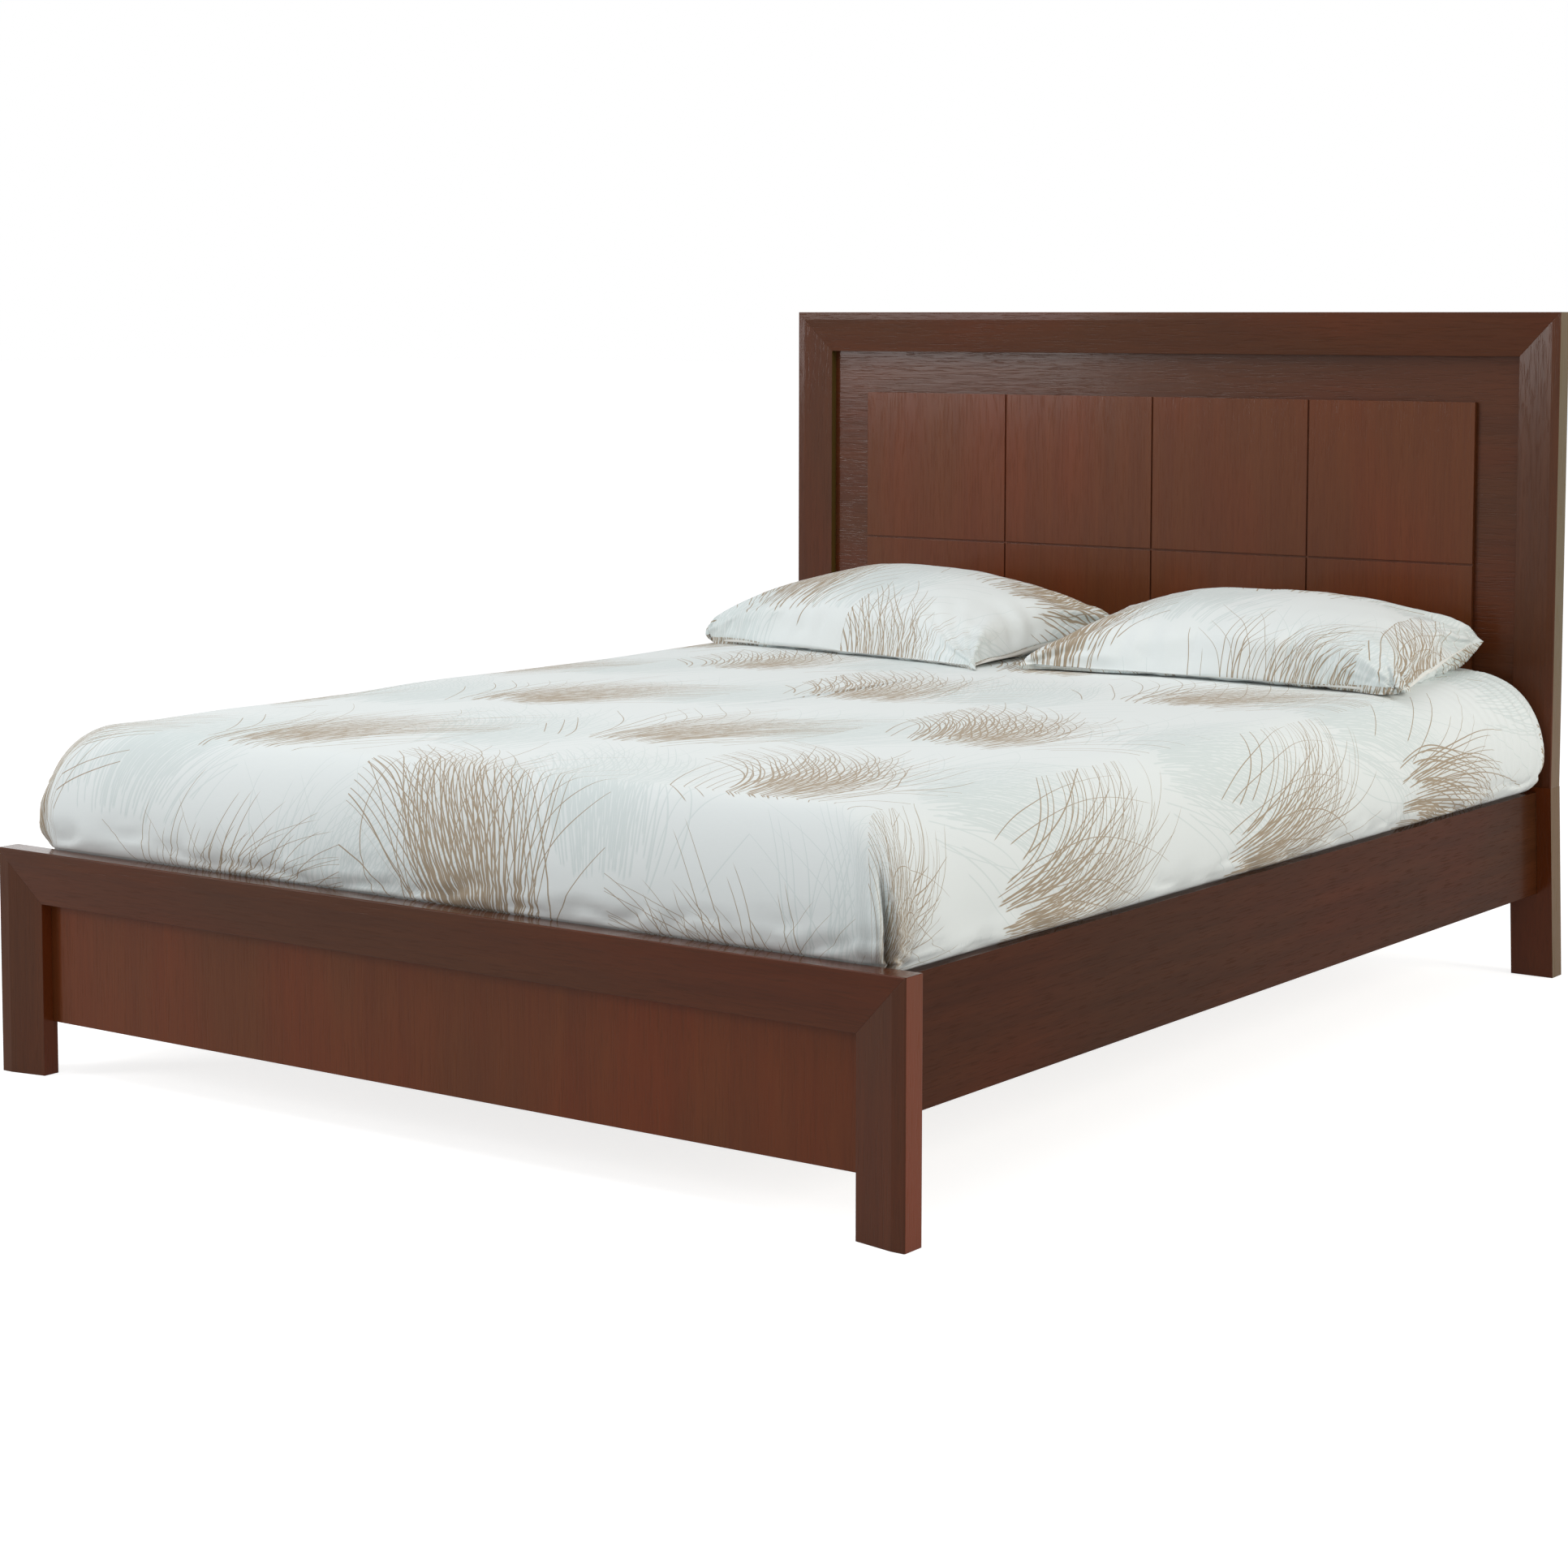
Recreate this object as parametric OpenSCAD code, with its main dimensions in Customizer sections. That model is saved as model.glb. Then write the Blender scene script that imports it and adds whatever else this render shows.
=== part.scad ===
// Platform bed in dark stained wood: framed headboard, low footboard, side rails, slats and bedding.
// Millimetres, +Z up, +Y towards the headboard. The origin is on the floor under the bed's middle.

/* [Mattress] */
// Width of the mattress
mattress_w = 1506; // [1360:2:1900]
// Length of the mattress
mattress_l = 2028; // [1880:2:2120]
// Thickness of the mattress
mattress_t = 238; // [180:2:300]
// Corner radius of the mattress in plan
mattress_r = 20; // [12:1:60]
// Height of each piping band round the mattress
piping_h = 9; // [5:1:14]
// How far the piping stands out from the mattress's side
piping_out = 4; // [1:1:8]

/* [Bedding] */
// Thickness of the duvet where it is tucked in
tuck_t = 12; // [6:1:20]
// Clearance round soft pieces
soft_gap = 0.5; // [0.3:0.1:2]
// How far the duvet swells out over each side rail
side_swell = 43; // [5:1:60]
// How far the duvet swells out over the footboard
foot_swell = 16; // [0:1:30]
// Height of the duvet's widest line above the footboard's top
wide_rise = 48; // [30:1:70]
// Width of the duvet's rounded top edge, at its sides
shoulder_w = 120; // [60:1:150]
// Width of that edge at the foot
foot_shoulder_w = 78; // [40:1:84]
// Width of that edge at the head
head_shoulder_w = 32; // [16:1:36]
// Height of the duvet's crown above its shoulder
crown_h = 6; // [2:1:8]
// Thickness of the duvet over the mattress, at the shoulder
duvet_t = 45; // [30:1:60]
// Height of the duvet's hem above the slats
hem_rise = 10; // [2:1:40]

/* [Pillows] */
// Length of each pillow
pillow_w = 724; // [600:2:728]
// Depth of each pillow
pillow_d = 500; // [400:2:504]
// Height of the pillows' crowns above their seams
pillow_top_h = 110; // [60:1:120]
// How much plumper the left pillow is than the middle of the two
pillow_plump = 7; // [0:1:14]
// Height of the seam above the duvet's shoulder, at the pillow's front
pillow_front_rise = 5; // [2:1:30]
// Height of the seam above the duvet's shoulder, at the pillow's back
pillow_back_rise = 47; // [30:1:70]
// Swell of the pillow below its seam
pillow_under_h = 66; // [30:1:80]
// Lift of each pillow's two back corners
ear_lift = 12; // [0:1:30]
// Distance between the pillows' ends and their shared middle, before they are turned
pillow_spread = 12; // [10:1:30]
// Distance of that middle to the right of the bed's middle
pillow_shift = 20; // [0:1:24]
// Distance from the pillows' middles to the headboard's face
pillow_back = 303; // [300:1:400]
// How much further forward the left pillow lies, and the right one further back
pillow_stagger = 11; // [0:1:14]
// Turn of the left pillow about +Z, in degrees
pillow_turn_left = -13; // [-13:0.5:0]
// Turn of the right pillow about +Z, in degrees
pillow_turn_right = 7; // [0:0.5:7]
// How far the left pillow's inner front corner reaches towards the right pillow
corner_out_left = 90; // [0:2:96]
// How far the right pillow's inner front corner reaches towards the left pillow
corner_out_right = 12; // [0:2:16]
// Wall of the pillowcase, over the filling
case_wall = 4; // [3:0.5:8]
// Flat margin of the pillowcase, from its seam to the filling
case_margin = 17; // [14:1:30]

/* [Footboard] */
// Height of the footboard
foot_h = 352; // [340:1:420]
// Thickness of the footboard's frame
foot_t = 40; // [34:1:50]
// Width of the footboard's posts and top rail
foot_frame_w = 83; // [76:1:110]
// Width of the flat lip round the footboard's frame
foot_lip = 21; // [8:1:40]
// Depth of the bevel inside the footboard's lip
foot_bevel = 12; // [4:1:16]
// Distance that the posts stand out beyond the side rails
foot_overhang = 57; // [45:1:80]
// Thickness of the footboard's panel
foot_panel_t = 9; // [6:1:12]
// Height of the panel's lower edge above the floor
foot_panel_clear = 83; // [40:1:120]
// Overlap of the panel behind the frame
foot_panel_lap = 5; // [3:1:5]

/* [Headboard] */
// Height of the headboard
head_h = 1180; // [900:5:1400]
// Thickness of the headboard's frame
head_t = 40; // [38:1:50]
// Width of the headboard's stiles and top rail
head_frame_w = 78; // [76:1:110]
// Width of the flat lip round the headboard's frame
head_lip = 15; // [8:1:40]
// Depth of the bevel inside the headboard's lip
head_bevel = 8; // [3:1:10]
// Distance that the stiles stand out beyond the side rails
head_overhang = 27; // [20:1:50]
// Depth of the field panel's face behind the bevel's inner edge
field_step = 15; // [12:1:16]
// Thickness of the field panel
field_t = 15; // [9:1:15]
// Overlap of the field panel behind the frame
field_lap = 10; // [6:1:14]
// Width of the field shown beside the centre panel
field_margin = 84; // [40:1:140]
// Height of the field shown above the centre panel
field_margin_top = 82; // [40:1:140]
// Height of the field shown below the centre panel
field_margin_low = 19; // [5:1:60]
// Thickness of the raised centre panel
centre_t = 9; // [5:1:12]
// Height of the centre panel's lower row
centre_low_h = 288; // [200:1:300]
// Number of columns in the centre panel
centre_columns = 4; // [2:1:6]
// Width of the grooves in the centre panel
groove_w = 3.5; // [2:0.5:6]
// Depth of the grooves in the centre panel
groove_d = 3; // [1:0.5:4]
// Height of the headboard's bottom rail
head_bottom_h = 80; // [60:1:90]
// Height of the seam between stile and leg above the side rail's top
seam_rise = 9; // [4:1:30]
// How far each leg rakes back from its seam to the floor
leg_rake = 26; // [0:1:40]

/* [Side rails] */
// Height of the side rails' top edge above the floor
rail_top = 334; // [300:1:338]
// Height of each side rail
rail_h = 183; // [170:1:200]
// Thickness of each side rail
rail_t = 22; // [20:1:28]
// Depth of the slats' top below the rails' top
deck_depth = 72; // [50:1:90]
// Width of each slat cleat
cleat_w = 25; // [20:1:30]
// Height of each slat cleat
cleat_h = 25; // [20:1:30]
// Gap between a cleat's ends and the cross pieces
cleat_gap = 6; // [2:1:20]
// Number of screws in each cleat
cleat_screws_n = 7; // [4:1:9]

/* [Slats] */
// Number of slats
slat_count = 13; // [10:1:14]
// Width of each slat
slat_w = 70; // [50:1:90]
// Thickness of each slat
slat_t = 18; // [12:1:20]
// Clearance at the slats' ends
slat_gap = 1; // [0.5:0.5:3]

/* [Centre support] */
// Width of the centre beam
beam_w = 40; // [30:1:60]
// Height of the centre beam
beam_h = 60; // [50:1:70]
// Thickness of the footboard's back rail and the headboard's cross rail
cross_t = 22; // [18:1:24]
// Height of those two rails
cross_h = 88; // [80:1:100]
// Side of each square centre leg
centre_leg_w = 40; // [30:1:60]
// Distance of each centre leg from the bed's middle
centre_leg_y = 340; // [200:5:500]
// Height of each leveller's pad
pad_h = 8; // [6:1:14]
// Radius of each leveller's pad
pad_r = 17; // [12:0.5:24]
// Radius of each leveller's stem
stem_r = 4; // [3:0.5:5]
// Length of each leveller's stem above its pad
stem_l = 36; // [30:1:44]
// Length of stem that shows between pad and leg
stem_out = 8; // [2:1:12]
// Radius of the bolt between beam and centre leg
bolt_r = 4; // [3:0.5:5]
// Length of that bolt
bolt_l = 60; // [40:1:80]

/* [Fittings] */
// Width of the hook plates and receiver plates
plate_w = 16; // [14:1:18]
// Height of the hook plates and receiver plates
plate_h = 120; // [116:1:150]
// Thickness of the hook plates and receiver plates
plate_t = 2.5; // [2:0.5:3]
// Distance of each hook from the plate's middle
hook_offset = 28; // [24:1:30]
// Distance of each end screw from the plate's middle
plate_screw_offset = 51; // [51:0.5:54]
// Thickness of the beam brackets' steel
bracket_t = 2; // [1.5:0.5:3]
// Length of the beam brackets' cheeks
bracket_l = 35; // [26:1:60]
// Width of each wing of a beam bracket
wing_w = 24; // [20:1:40]
// Radius of the dowels
dowel_r = 4; // [3:0.5:5]
// Length of the dowels
dowel_l = 40; // [30:1:44]
// Radius of the screws' shanks
screw_r = 2; // [1.5:0.25:2.25]
// Radius of the screws' heads
screw_head_r = 4; // [3.5:0.25:4.25]
// Chamfer along the outer edges of the show wood
edge = 1.5; // [0.5:0.5:3]

/* [Hidden] */
// Clearances: wood to metal, beside a screw, dowel or stem, and past a cut
fit = 0.3;
screw_fit = 0.15;
dowel_fit = 0.1;
stem_fit = 0.1;
cut = 1;
$fn = 24;

// Places along the bed
cavity_l = mattress_l + 2 * tuck_t + 4 * soft_gap;
total_l = foot_t + cavity_l + head_t + leg_rake;
foot_front = -total_l / 2;
foot_back = foot_front + foot_t;
head_front = foot_back + cavity_l;
mattress_y0 = foot_back + 2 * soft_gap + tuck_t;
back_rail_inner = foot_back + cross_t;

// Places across the bed
rail_in = mattress_w / 2 + tuck_t + 2 * soft_gap;
rail_out = rail_in + rail_t;
rail_mid = rail_in + rail_t / 2;
foot_half = rail_out + foot_overhang;
head_half = rail_out + head_overhang;
foot_in = foot_half - foot_frame_w;
head_in = head_half - head_frame_w;

// Heights
rail_bottom = rail_top - rail_h;
slat_top = rail_top - deck_depth;
deck_bottom = slat_top - slat_t;
beam_bottom = deck_bottom - beam_h;
seam_z = rail_top + seam_rise;
cross_drop = 2;
cross_top = slat_top - cross_drop;
cross_bottom = cross_top - cross_h;
plate_z = rail_top - rail_h / 2;
mattress_bottom = slat_top + fit;
mattress_top = mattress_bottom + mattress_t;

// The legs' rake: its angle, and where the leg's face stands at a height
rake_angle = atan(leg_rake / seam_z);
function leg_face(z) = head_front + leg_rake * (1 - z / seam_z);
cross_front = leg_face(cross_bottom);

// The headboard's panels
field_front = head_front + head_bevel + field_step;
field_bottom = seam_z + head_bottom_h - field_lap;
centre_front = field_front - centre_t;
centre_half = head_in - field_margin;
centre_top = head_h - head_frame_w - field_margin_top;
centre_bottom = seam_z + head_bottom_h + field_margin_low;
centre_split = centre_bottom + centre_low_h;
foot_panel_front = foot_front + foot_t - foot_panel_t;

// Lengths of the screws: slat, cleat, plate, bracket and centre panel; how far they hold; head and tip
screw_bite = 14;
panel_bite = 5;
slat_screw_l = slat_t + screw_bite;
cleat_screw_l = cleat_w + screw_bite;
plate_screw_l = 25;
bracket_screw_l = 16;
panel_screw_l = field_t + panel_bite;
head_cone = 2.2;
screw_tip = 3;

// The centre panel's screws: distance from its top and bottom, and shares of its half width
panel_screw_inset = 60;
panel_screw_share = [-0.75, -0.25, 0.25, 0.75];

// Depths of the dowels' middles in the frames
foot_dowel_y = foot_front + foot_t / 2;
head_dowel_y = head_front + head_bevel + field_step / 2;

// The dowels' places, as shares of the width of the mitre, seam or rail end that they cross
mitre_dowel_share = [0.36, 0.7];
seam_dowel_share = [0.36, 0.73];
rail_dowel_share = [0.25, 0.75];

// Slat and screw places
slat_first = back_rail_inner + slat_gap + slat_w / 2;
slat_last = head_front - 2 * slat_gap - slat_w / 2;
slat_pitch = (slat_last - slat_first) / (slat_count - 1);
function slat_y(i) = slat_first + (i - 1) * slat_pitch;
function slat_name(i) = str("slat_", i < 10 ? "0" : "", i);
cleat_y0 = back_rail_inner + cleat_gap;
cleat_y1 = head_front - cleat_gap;
// A cleat screw stands midway between two slats
function cleat_screw_y(k) =
    slat_y(1 + floor((k + 0.5) * (slat_count - 1) / cleat_screws_n)) + slat_pitch / 2;

// Colours
stain = [0.36, 0.2, 0.16];
stain_dark = [0.29, 0.19, 0.14];
pale_wood = [0.78, 0.64, 0.46];
zinc = [0.66, 0.68, 0.7];
cotton = [0.89, 0.92, 0.93];
ticking = [0.93, 0.92, 0.88];
nylon = [0.16, 0.16, 0.17];

// Helpers

// The children as drawn for the right side, or mirrored for the left
module on_side(s) {
    if (s > 0) children();
    else mirror([1, 0, 0]) children();
}

// A box between two corners
module box(a, b) {
    translate(a) cube(b - a);
}

// A countersunk screw pointing down, with its head's top at z = 0
module screw(l) {
    rotate_extrude()
        polygon([[0, 0], [screw_head_r, 0], [screw_r, -head_cone], [screw_r, screw_tip - l], [0, -l]]);
}

// The hole that the screw sits in
module screw_hole(l) {
    rotate_extrude()
        polygon([[0, cut], [screw_head_r + screw_fit, cut], [screw_head_r + screw_fit, 0],
                 [screw_r + screw_fit, -head_cone], [screw_r + screw_fit, -l - screw_fit],
                 [0, -l - screw_fit]]);
}

// A dowel, or its hole where the fit is added
module dowel(gap = 0) {
    cylinder(h = dowel_l + 2 * gap, r = dowel_r + gap, center = true);
}

// Section of a frame member: u runs in from the outer edge, v back from the lip
module member_section(w, t, lip, bevel) {
    polygon([[edge, 0], [lip, 0], [w, bevel], [w, t], [edge, t], [0, t - edge], [0, edge]]);
}

// An outline in X and Z, given depth in Y
module front_outline(y, t, points) {
    translate([0, y + t + cut, 0]) rotate([90, 0, 0]) linear_extrude(t + 2 * cut) polygon(points);
}

// The mitred top member of a frame
module top_member(half, top, y, w, t, lip, bevel) {
    intersection() {
        translate([-half, y, top]) rotate([0, 90, 0]) linear_extrude(2 * half)
            member_section(w, t, lip, bevel);
        front_outline(y, t, [[-half - cut, top + cut], [half + cut, top + cut],
                             [half - w - cut, top - w - cut], [-half + w + cut, top - w - cut]]);
    }
}

// The mitred right member of a frame, from z0 up to the top corner
module side_member(half, top, z0, y, w, t, lip, bevel) {
    intersection() {
        translate([half, y, z0]) mirror([1, 0, 0]) linear_extrude(top - z0)
            member_section(w, t, lip, bevel);
        front_outline(y, t, [[half - w - cut, z0 - cut], [half + cut, z0 - cut],
                             [half + cut, top + cut], [half - w - cut, top - w - cut]]);
    }
}

// Dowels across both mitres of a frame
module mitre_dowels(half, top, y, w, gap = 0) {
    for (s = [-1, 1], k = mitre_dowel_share)
        on_side(s) translate([half - k * w, y, top - k * w]) rotate([0, 135, 0]) dowel(gap);
}

// The footboard's and headboard's mitre dowels
module foot_mitre_dowels(gap = 0) {
    mitre_dowels(foot_half, foot_h, foot_dowel_y, foot_frame_w, gap);
}
module head_mitre_dowels(gap = 0) {
    mitre_dowels(head_half, head_h, head_dowel_y, head_frame_w, gap);
}

// Upright dowels at the seams between stiles and legs
module seam_dowels(gap = 0) {
    for (s = [-1, 1], k = seam_dowel_share)
        translate([s * (head_in + k * head_frame_w), head_front + head_t / 2, seam_z]) dowel(gap);
}

// Level dowels that join the bottom rail to the stiles and the cross rail to the legs
module rail_dowels(gap = 0) {
    for (s = [-1, 1], k = rail_dowel_share) {
        translate([s * head_in, head_dowel_y, seam_z + k * (head_bottom_h - field_lap)])
            rotate([0, 90, 0]) dowel(gap);
        translate([s * head_in, cross_front + cross_t / 2, cross_bottom + k * cross_h])
            rotate([0, 90, 0]) dowel(gap);
    }
}

// The joint between a side rail and the footboard or headboard: +Y points into the post or leg
module foot_joint() {
    translate([rail_mid, foot_back, plate_z]) mirror([0, 1, 0]) children();
}
module head_joint() {
    translate([rail_mid, head_front, seam_z]) rotate([rake_angle, 0, 0])
        translate([0, 0, plate_z - seam_z]) children();
}
module at_joint(head, s) {
    on_side(s) {
        if (head) head_joint() children();
        else foot_joint() children();
    }
}

// Hook sizes: blade thickness, neck, tooth and the slot and pocket that take it
hook_t = 2.5;
hook_reach = 11;
hook_up = 8;
neck_down = 4;
tooth_down = 12;
slot_side = 0.5;
slot_up = 17;
hook_lap = 1;
pocket_side = 1.5;
pocket_end = 1;

// Places of a plate's three screws
plate_screw_z = [-plate_screw_offset, 0, plate_screw_offset];

// A hook plate let into a rail's end, with two down-turned hooks
module hook_plate() {
    difference() {
        union() {
            box([-plate_w / 2, -plate_t, -plate_h / 2], [plate_w / 2, 0, plate_h / 2]);
            for (z = [-hook_offset, hook_offset]) translate([-hook_t / 2, 0, z]) {
                box([0, -plate_t / 2, -neck_down], [hook_t, plate_t + hook_lap, hook_up]);
                box([0, plate_t + fit, -tooth_down], [hook_t, hook_reach, hook_up]);
            }
        }
        for (z = plate_screw_z) translate([0, 0, z]) rotate([-90, 0, 0]) screw_hole(plate_t + cut);
    }
}

// A slotted receiver plate let into a post or leg
module receiver_plate() {
    difference() {
        box([-plate_w / 2, 0, -plate_h / 2], [plate_w / 2, plate_t, plate_h / 2]);
        for (z = [-hook_offset, hook_offset])
            box([-hook_t / 2 - slot_side, -cut, z - neck_down - fit],
                [hook_t / 2 + slot_side, plate_t + cut, z + slot_up]);
        for (z = plate_screw_z) translate([0, 0, z]) rotate([90, 0, 0]) screw_hole(plate_t + cut);
    }
}

// What a post or leg loses to its receiver plate, hooks and screws
module receiver_pocket() {
    box([-plate_w / 2 - fit, -cut, -plate_h / 2 - fit], [plate_w / 2 + fit, plate_t, plate_h / 2 + fit]);
    for (z = [-hook_offset, hook_offset])
        box([-hook_t / 2 - pocket_side, -cut, z - tooth_down - pocket_end],
            [hook_t / 2 + pocket_side, hook_reach + pocket_end, z + slot_up + pocket_end]);
    for (z = plate_screw_z) translate([0, 0, z]) rotate([90, 0, 0]) screw_hole(plate_screw_l);
}

// What a rail's end loses to its hook plate and screws
module hook_pocket() {
    box([-plate_w / 2 - fit, -plate_t, -plate_h / 2 - fit],
        [plate_w / 2 + fit, cut, plate_h / 2 + fit]);
    for (z = plate_screw_z) translate([0, 0, z]) rotate([-90, 0, 0]) screw_hole(plate_screw_l);
}

// Headboard

module headboard_top_rail() {
    color(stain) difference() {
        top_member(head_half, head_h, head_front, head_frame_w, head_t, head_lip, head_bevel);
        field_seat();
        head_mitre_dowels(dowel_fit);
    }
}

module headboard_stile(s) {
    color(stain) difference() {
        on_side(s) side_member(head_half, head_h, seam_z, head_front, head_frame_w, head_t,
                               head_lip, head_bevel);
        field_seat();
        head_mitre_dowels(dowel_fit);
        seam_dowels(dowel_fit);
        rail_dowels(dowel_fit);
    }
}

module headboard_bottom_rail() {
    color(stain) difference() {
        box([-head_in, head_front + head_bevel, seam_z],
            [head_in, head_front + head_t, seam_z + head_bottom_h]);
        field_seat();
        rail_dowels(dowel_fit);
    }
}

// The rebate that takes the field panel, open at the back
module field_seat() {
    box([-head_in - field_lap, field_front, field_bottom],
        [head_in + field_lap, head_front + head_t + cut, head_h - head_frame_w + field_lap]);
}

module panel_screw_places() {
    for (x = panel_screw_share, z = [centre_bottom + panel_screw_inset, centre_top - panel_screw_inset])
        translate([x * centre_half, field_front + field_t, z]) rotate([-90, 0, 0]) children();
}

module headboard_field_panel() {
    color(stain) difference() {
        box([-head_in - field_lap, field_front, field_bottom],
            [head_in + field_lap, field_front + field_t, head_h - head_frame_w + field_lap]);
        panel_screw_places() screw_hole(panel_screw_l);
    }
}

module headboard_centre_panel() {
    color(stain) difference() {
        box([-centre_half, centre_front, centre_bottom], [centre_half, field_front, centre_top]);
        for (k = [1 : centre_columns - 1]) {
            x = -centre_half + k * 2 * centre_half / centre_columns;
            box([x - groove_w / 2, centre_front - cut, centre_bottom - cut],
                [x + groove_w / 2, centre_front + groove_d, centre_top + cut]);
        }
        box([-centre_half - cut, centre_front - cut, centre_split - groove_w / 2],
            [centre_half + cut, centre_front + groove_d, centre_split + groove_w / 2]);
        panel_screw_places() screw_hole(panel_screw_l);
    }
}

// A straight leg that rakes back from the seam to the floor
module headboard_leg(s) {
    color(stain) difference() {
        on_side(s) translate([head_in, 0, 0]) rotate([90, 0, 90]) linear_extrude(head_frame_w)
            polygon([[leg_face(0), 0], [leg_face(0) + head_t, 0],
                     [head_front + head_t, seam_z], [head_front, seam_z]]);
        seam_dowels(dowel_fit);
        rail_dowels(dowel_fit);
        at_joint(true, s) receiver_pocket();
    }
}

module headboard_cross_rail() {
    color(pale_wood) difference() {
        box([-head_in, cross_front, cross_bottom], [head_in, cross_front + cross_t, cross_top]);
        rail_dowels(dowel_fit);
        head_bracket_place() bracket_wing_screws() screw_hole(bracket_screw_l);
    }
}

// Footboard

// The rebate that takes the footboard's panel, open at the back
module foot_panel_seat() {
    box([-foot_in - foot_panel_lap, foot_panel_front, foot_panel_clear],
        [foot_in + foot_panel_lap, foot_back + cut, foot_h - foot_frame_w + foot_panel_lap]);
}

module footboard_top_rail() {
    color(stain) difference() {
        top_member(foot_half, foot_h, foot_front, foot_frame_w, foot_t, foot_lip, foot_bevel);
        foot_panel_seat();
        foot_mitre_dowels(dowel_fit);
        for (s = [-1, 1]) at_joint(false, s) receiver_pocket();
    }
}

module footboard_post(s) {
    color(stain) difference() {
        on_side(s) side_member(foot_half, foot_h, 0, foot_front, foot_frame_w, foot_t,
                               foot_lip, foot_bevel);
        foot_panel_seat();
        foot_mitre_dowels(dowel_fit);
        at_joint(false, s) receiver_pocket();
    }
}

module footboard_panel() {
    color(stain)
        box([-foot_in - foot_panel_lap, foot_panel_front, foot_panel_clear],
            [foot_in + foot_panel_lap, foot_back, foot_h - foot_frame_w + foot_panel_lap]);
}

module footboard_back_rail() {
    color(pale_wood) difference() {
        box([-rail_in + soft_gap, foot_back, cross_bottom], [rail_in - soft_gap, back_rail_inner, cross_top]);
        foot_bracket_place() bracket_wing_screws() screw_hole(bracket_screw_l);
    }
}

// Side rails

module cleat_screw_places(s) {
    on_side(s) for (k = [0 : cleat_screws_n - 1])
        translate([rail_in - cleat_w, cleat_screw_y(k), deck_bottom - cleat_h / 2])
            rotate([0, -90, 0]) children();
}

// Its head end is cut to the leg's rake
module side_rail(s) {
    color(stain_dark) difference() {
        on_side(s) translate([rail_in, 0, 0]) rotate([90, 0, 90]) linear_extrude(rail_t)
            polygon([[foot_back, rail_bottom], [leg_face(rail_bottom), rail_bottom],
                     [leg_face(rail_top), rail_top], [foot_back, rail_top]]);
        at_joint(false, s) hook_pocket();
        at_joint(true, s) hook_pocket();
        cleat_screw_places(s) screw_hole(cleat_screw_l);
    }
}

module slat_cleat(s) {
    color(pale_wood) difference() {
        on_side(s) box([rail_in - cleat_w, cleat_y0, deck_bottom - cleat_h],
                       [rail_in, cleat_y1, deck_bottom]);
        cleat_screw_places(s) screw_hole(cleat_screw_l);
        for (i = [1 : slat_count]) slat_screw_places(i) screw_hole(slat_screw_l);
    }
}

module slat_screw_places(i) {
    for (s = [-1, 1]) translate([s * (rail_in - cleat_w / 2), slat_y(i), slat_top]) children();
}

module slat(i) {
    color(pale_wood) difference() {
        box([-rail_in + slat_gap, slat_y(i) - slat_w / 2, deck_bottom],
            [rail_in - slat_gap, slat_y(i) + slat_w / 2, slat_top]);
        slat_screw_places(i) screw_hole(slat_screw_l);
    }
}

// Centre support

// A bracket's place: its back plate stands on a cross piece, and +Y points along the beam
module foot_bracket_place() {
    translate([0, back_rail_inner, beam_bottom]) children();
}
module head_bracket_place() {
    translate([0, cross_front, beam_bottom]) mirror([0, 1, 0]) children();
}

// How far the wings and cheeks end below the beam's top, and the screws' distance from their edges
wing_drop = 4;
cheek_drop = 12;
bracket_inset = 11;

module bracket_wing_screws() {
    for (s = [-1, 1], z = [bracket_inset, beam_h - wing_drop - bracket_inset])
        translate([s * (beam_w / 2 + fit + bracket_t + wing_w / 2), bracket_t, z])
            rotate([-90, 0, 0]) children();
}

module bracket_beam_screws() {
    for (s = [-1, 1])
        on_side(s) translate([beam_w / 2 + fit + bracket_t, bracket_l - bracket_inset, beam_h / 2])
            rotate([0, 90, 0]) children();
}

// A steel saddle with a shelf, two cheeks and two wings
module beam_bracket() {
    cheek_x = beam_w / 2 + fit;
    color(zinc) difference() {
        union() {
            box([-cheek_x - bracket_t - wing_w, 0, -bracket_t],
                [cheek_x + bracket_t + wing_w, bracket_t, beam_h - wing_drop]);
            box([-cheek_x - bracket_t, 0, -bracket_t], [cheek_x + bracket_t, bracket_l, 0]);
            for (s = [-1, 1]) on_side(s)
                box([cheek_x, 0, -bracket_t], [cheek_x + bracket_t, bracket_l, beam_h - cheek_drop]);
        }
        bracket_wing_screws() screw_hole(bracket_screw_l);
        bracket_beam_screws() screw_hole(bracket_screw_l);
    }
}

module centre_leg_places() {
    for (s = [-1, 1]) translate([0, s * centre_leg_y, 0]) children();
}

module centre_beam() {
    color(pale_wood) difference() {
        box([-beam_w / 2, back_rail_inner + bracket_t + fit, beam_bottom],
            [beam_w / 2, cross_front - bracket_t - fit, deck_bottom]);
        foot_bracket_place() bracket_beam_screws() screw_hole(bracket_screw_l);
        head_bracket_place() bracket_beam_screws() screw_hole(bracket_screw_l);
        centre_leg_places() leg_bolt(dowel_fit);
    }
}

module leg_bolt(gap = 0) {
    translate([0, 0, beam_bottom]) cylinder(h = bolt_l + 2 * gap, r = bolt_r + gap, center = true);
}

// The stem's hole lets the pad screw up to the leg
stem_end_gap = 1;

module centre_leg(s) {
    color(pale_wood) translate([0, s * centre_leg_y, 0]) difference() {
        box([-centre_leg_w / 2, -centre_leg_w / 2, pad_h + stem_out],
            [centre_leg_w / 2, centre_leg_w / 2, beam_bottom]);
        leg_bolt(dowel_fit);
        translate([0, 0, pad_h + stem_out - cut])
            cylinder(h = stem_l + stem_end_gap + cut, r = stem_r + stem_fit);
    }
}

// A threaded stem on a round pad
pad_edge = 2;
stem_edge = 1;

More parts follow.
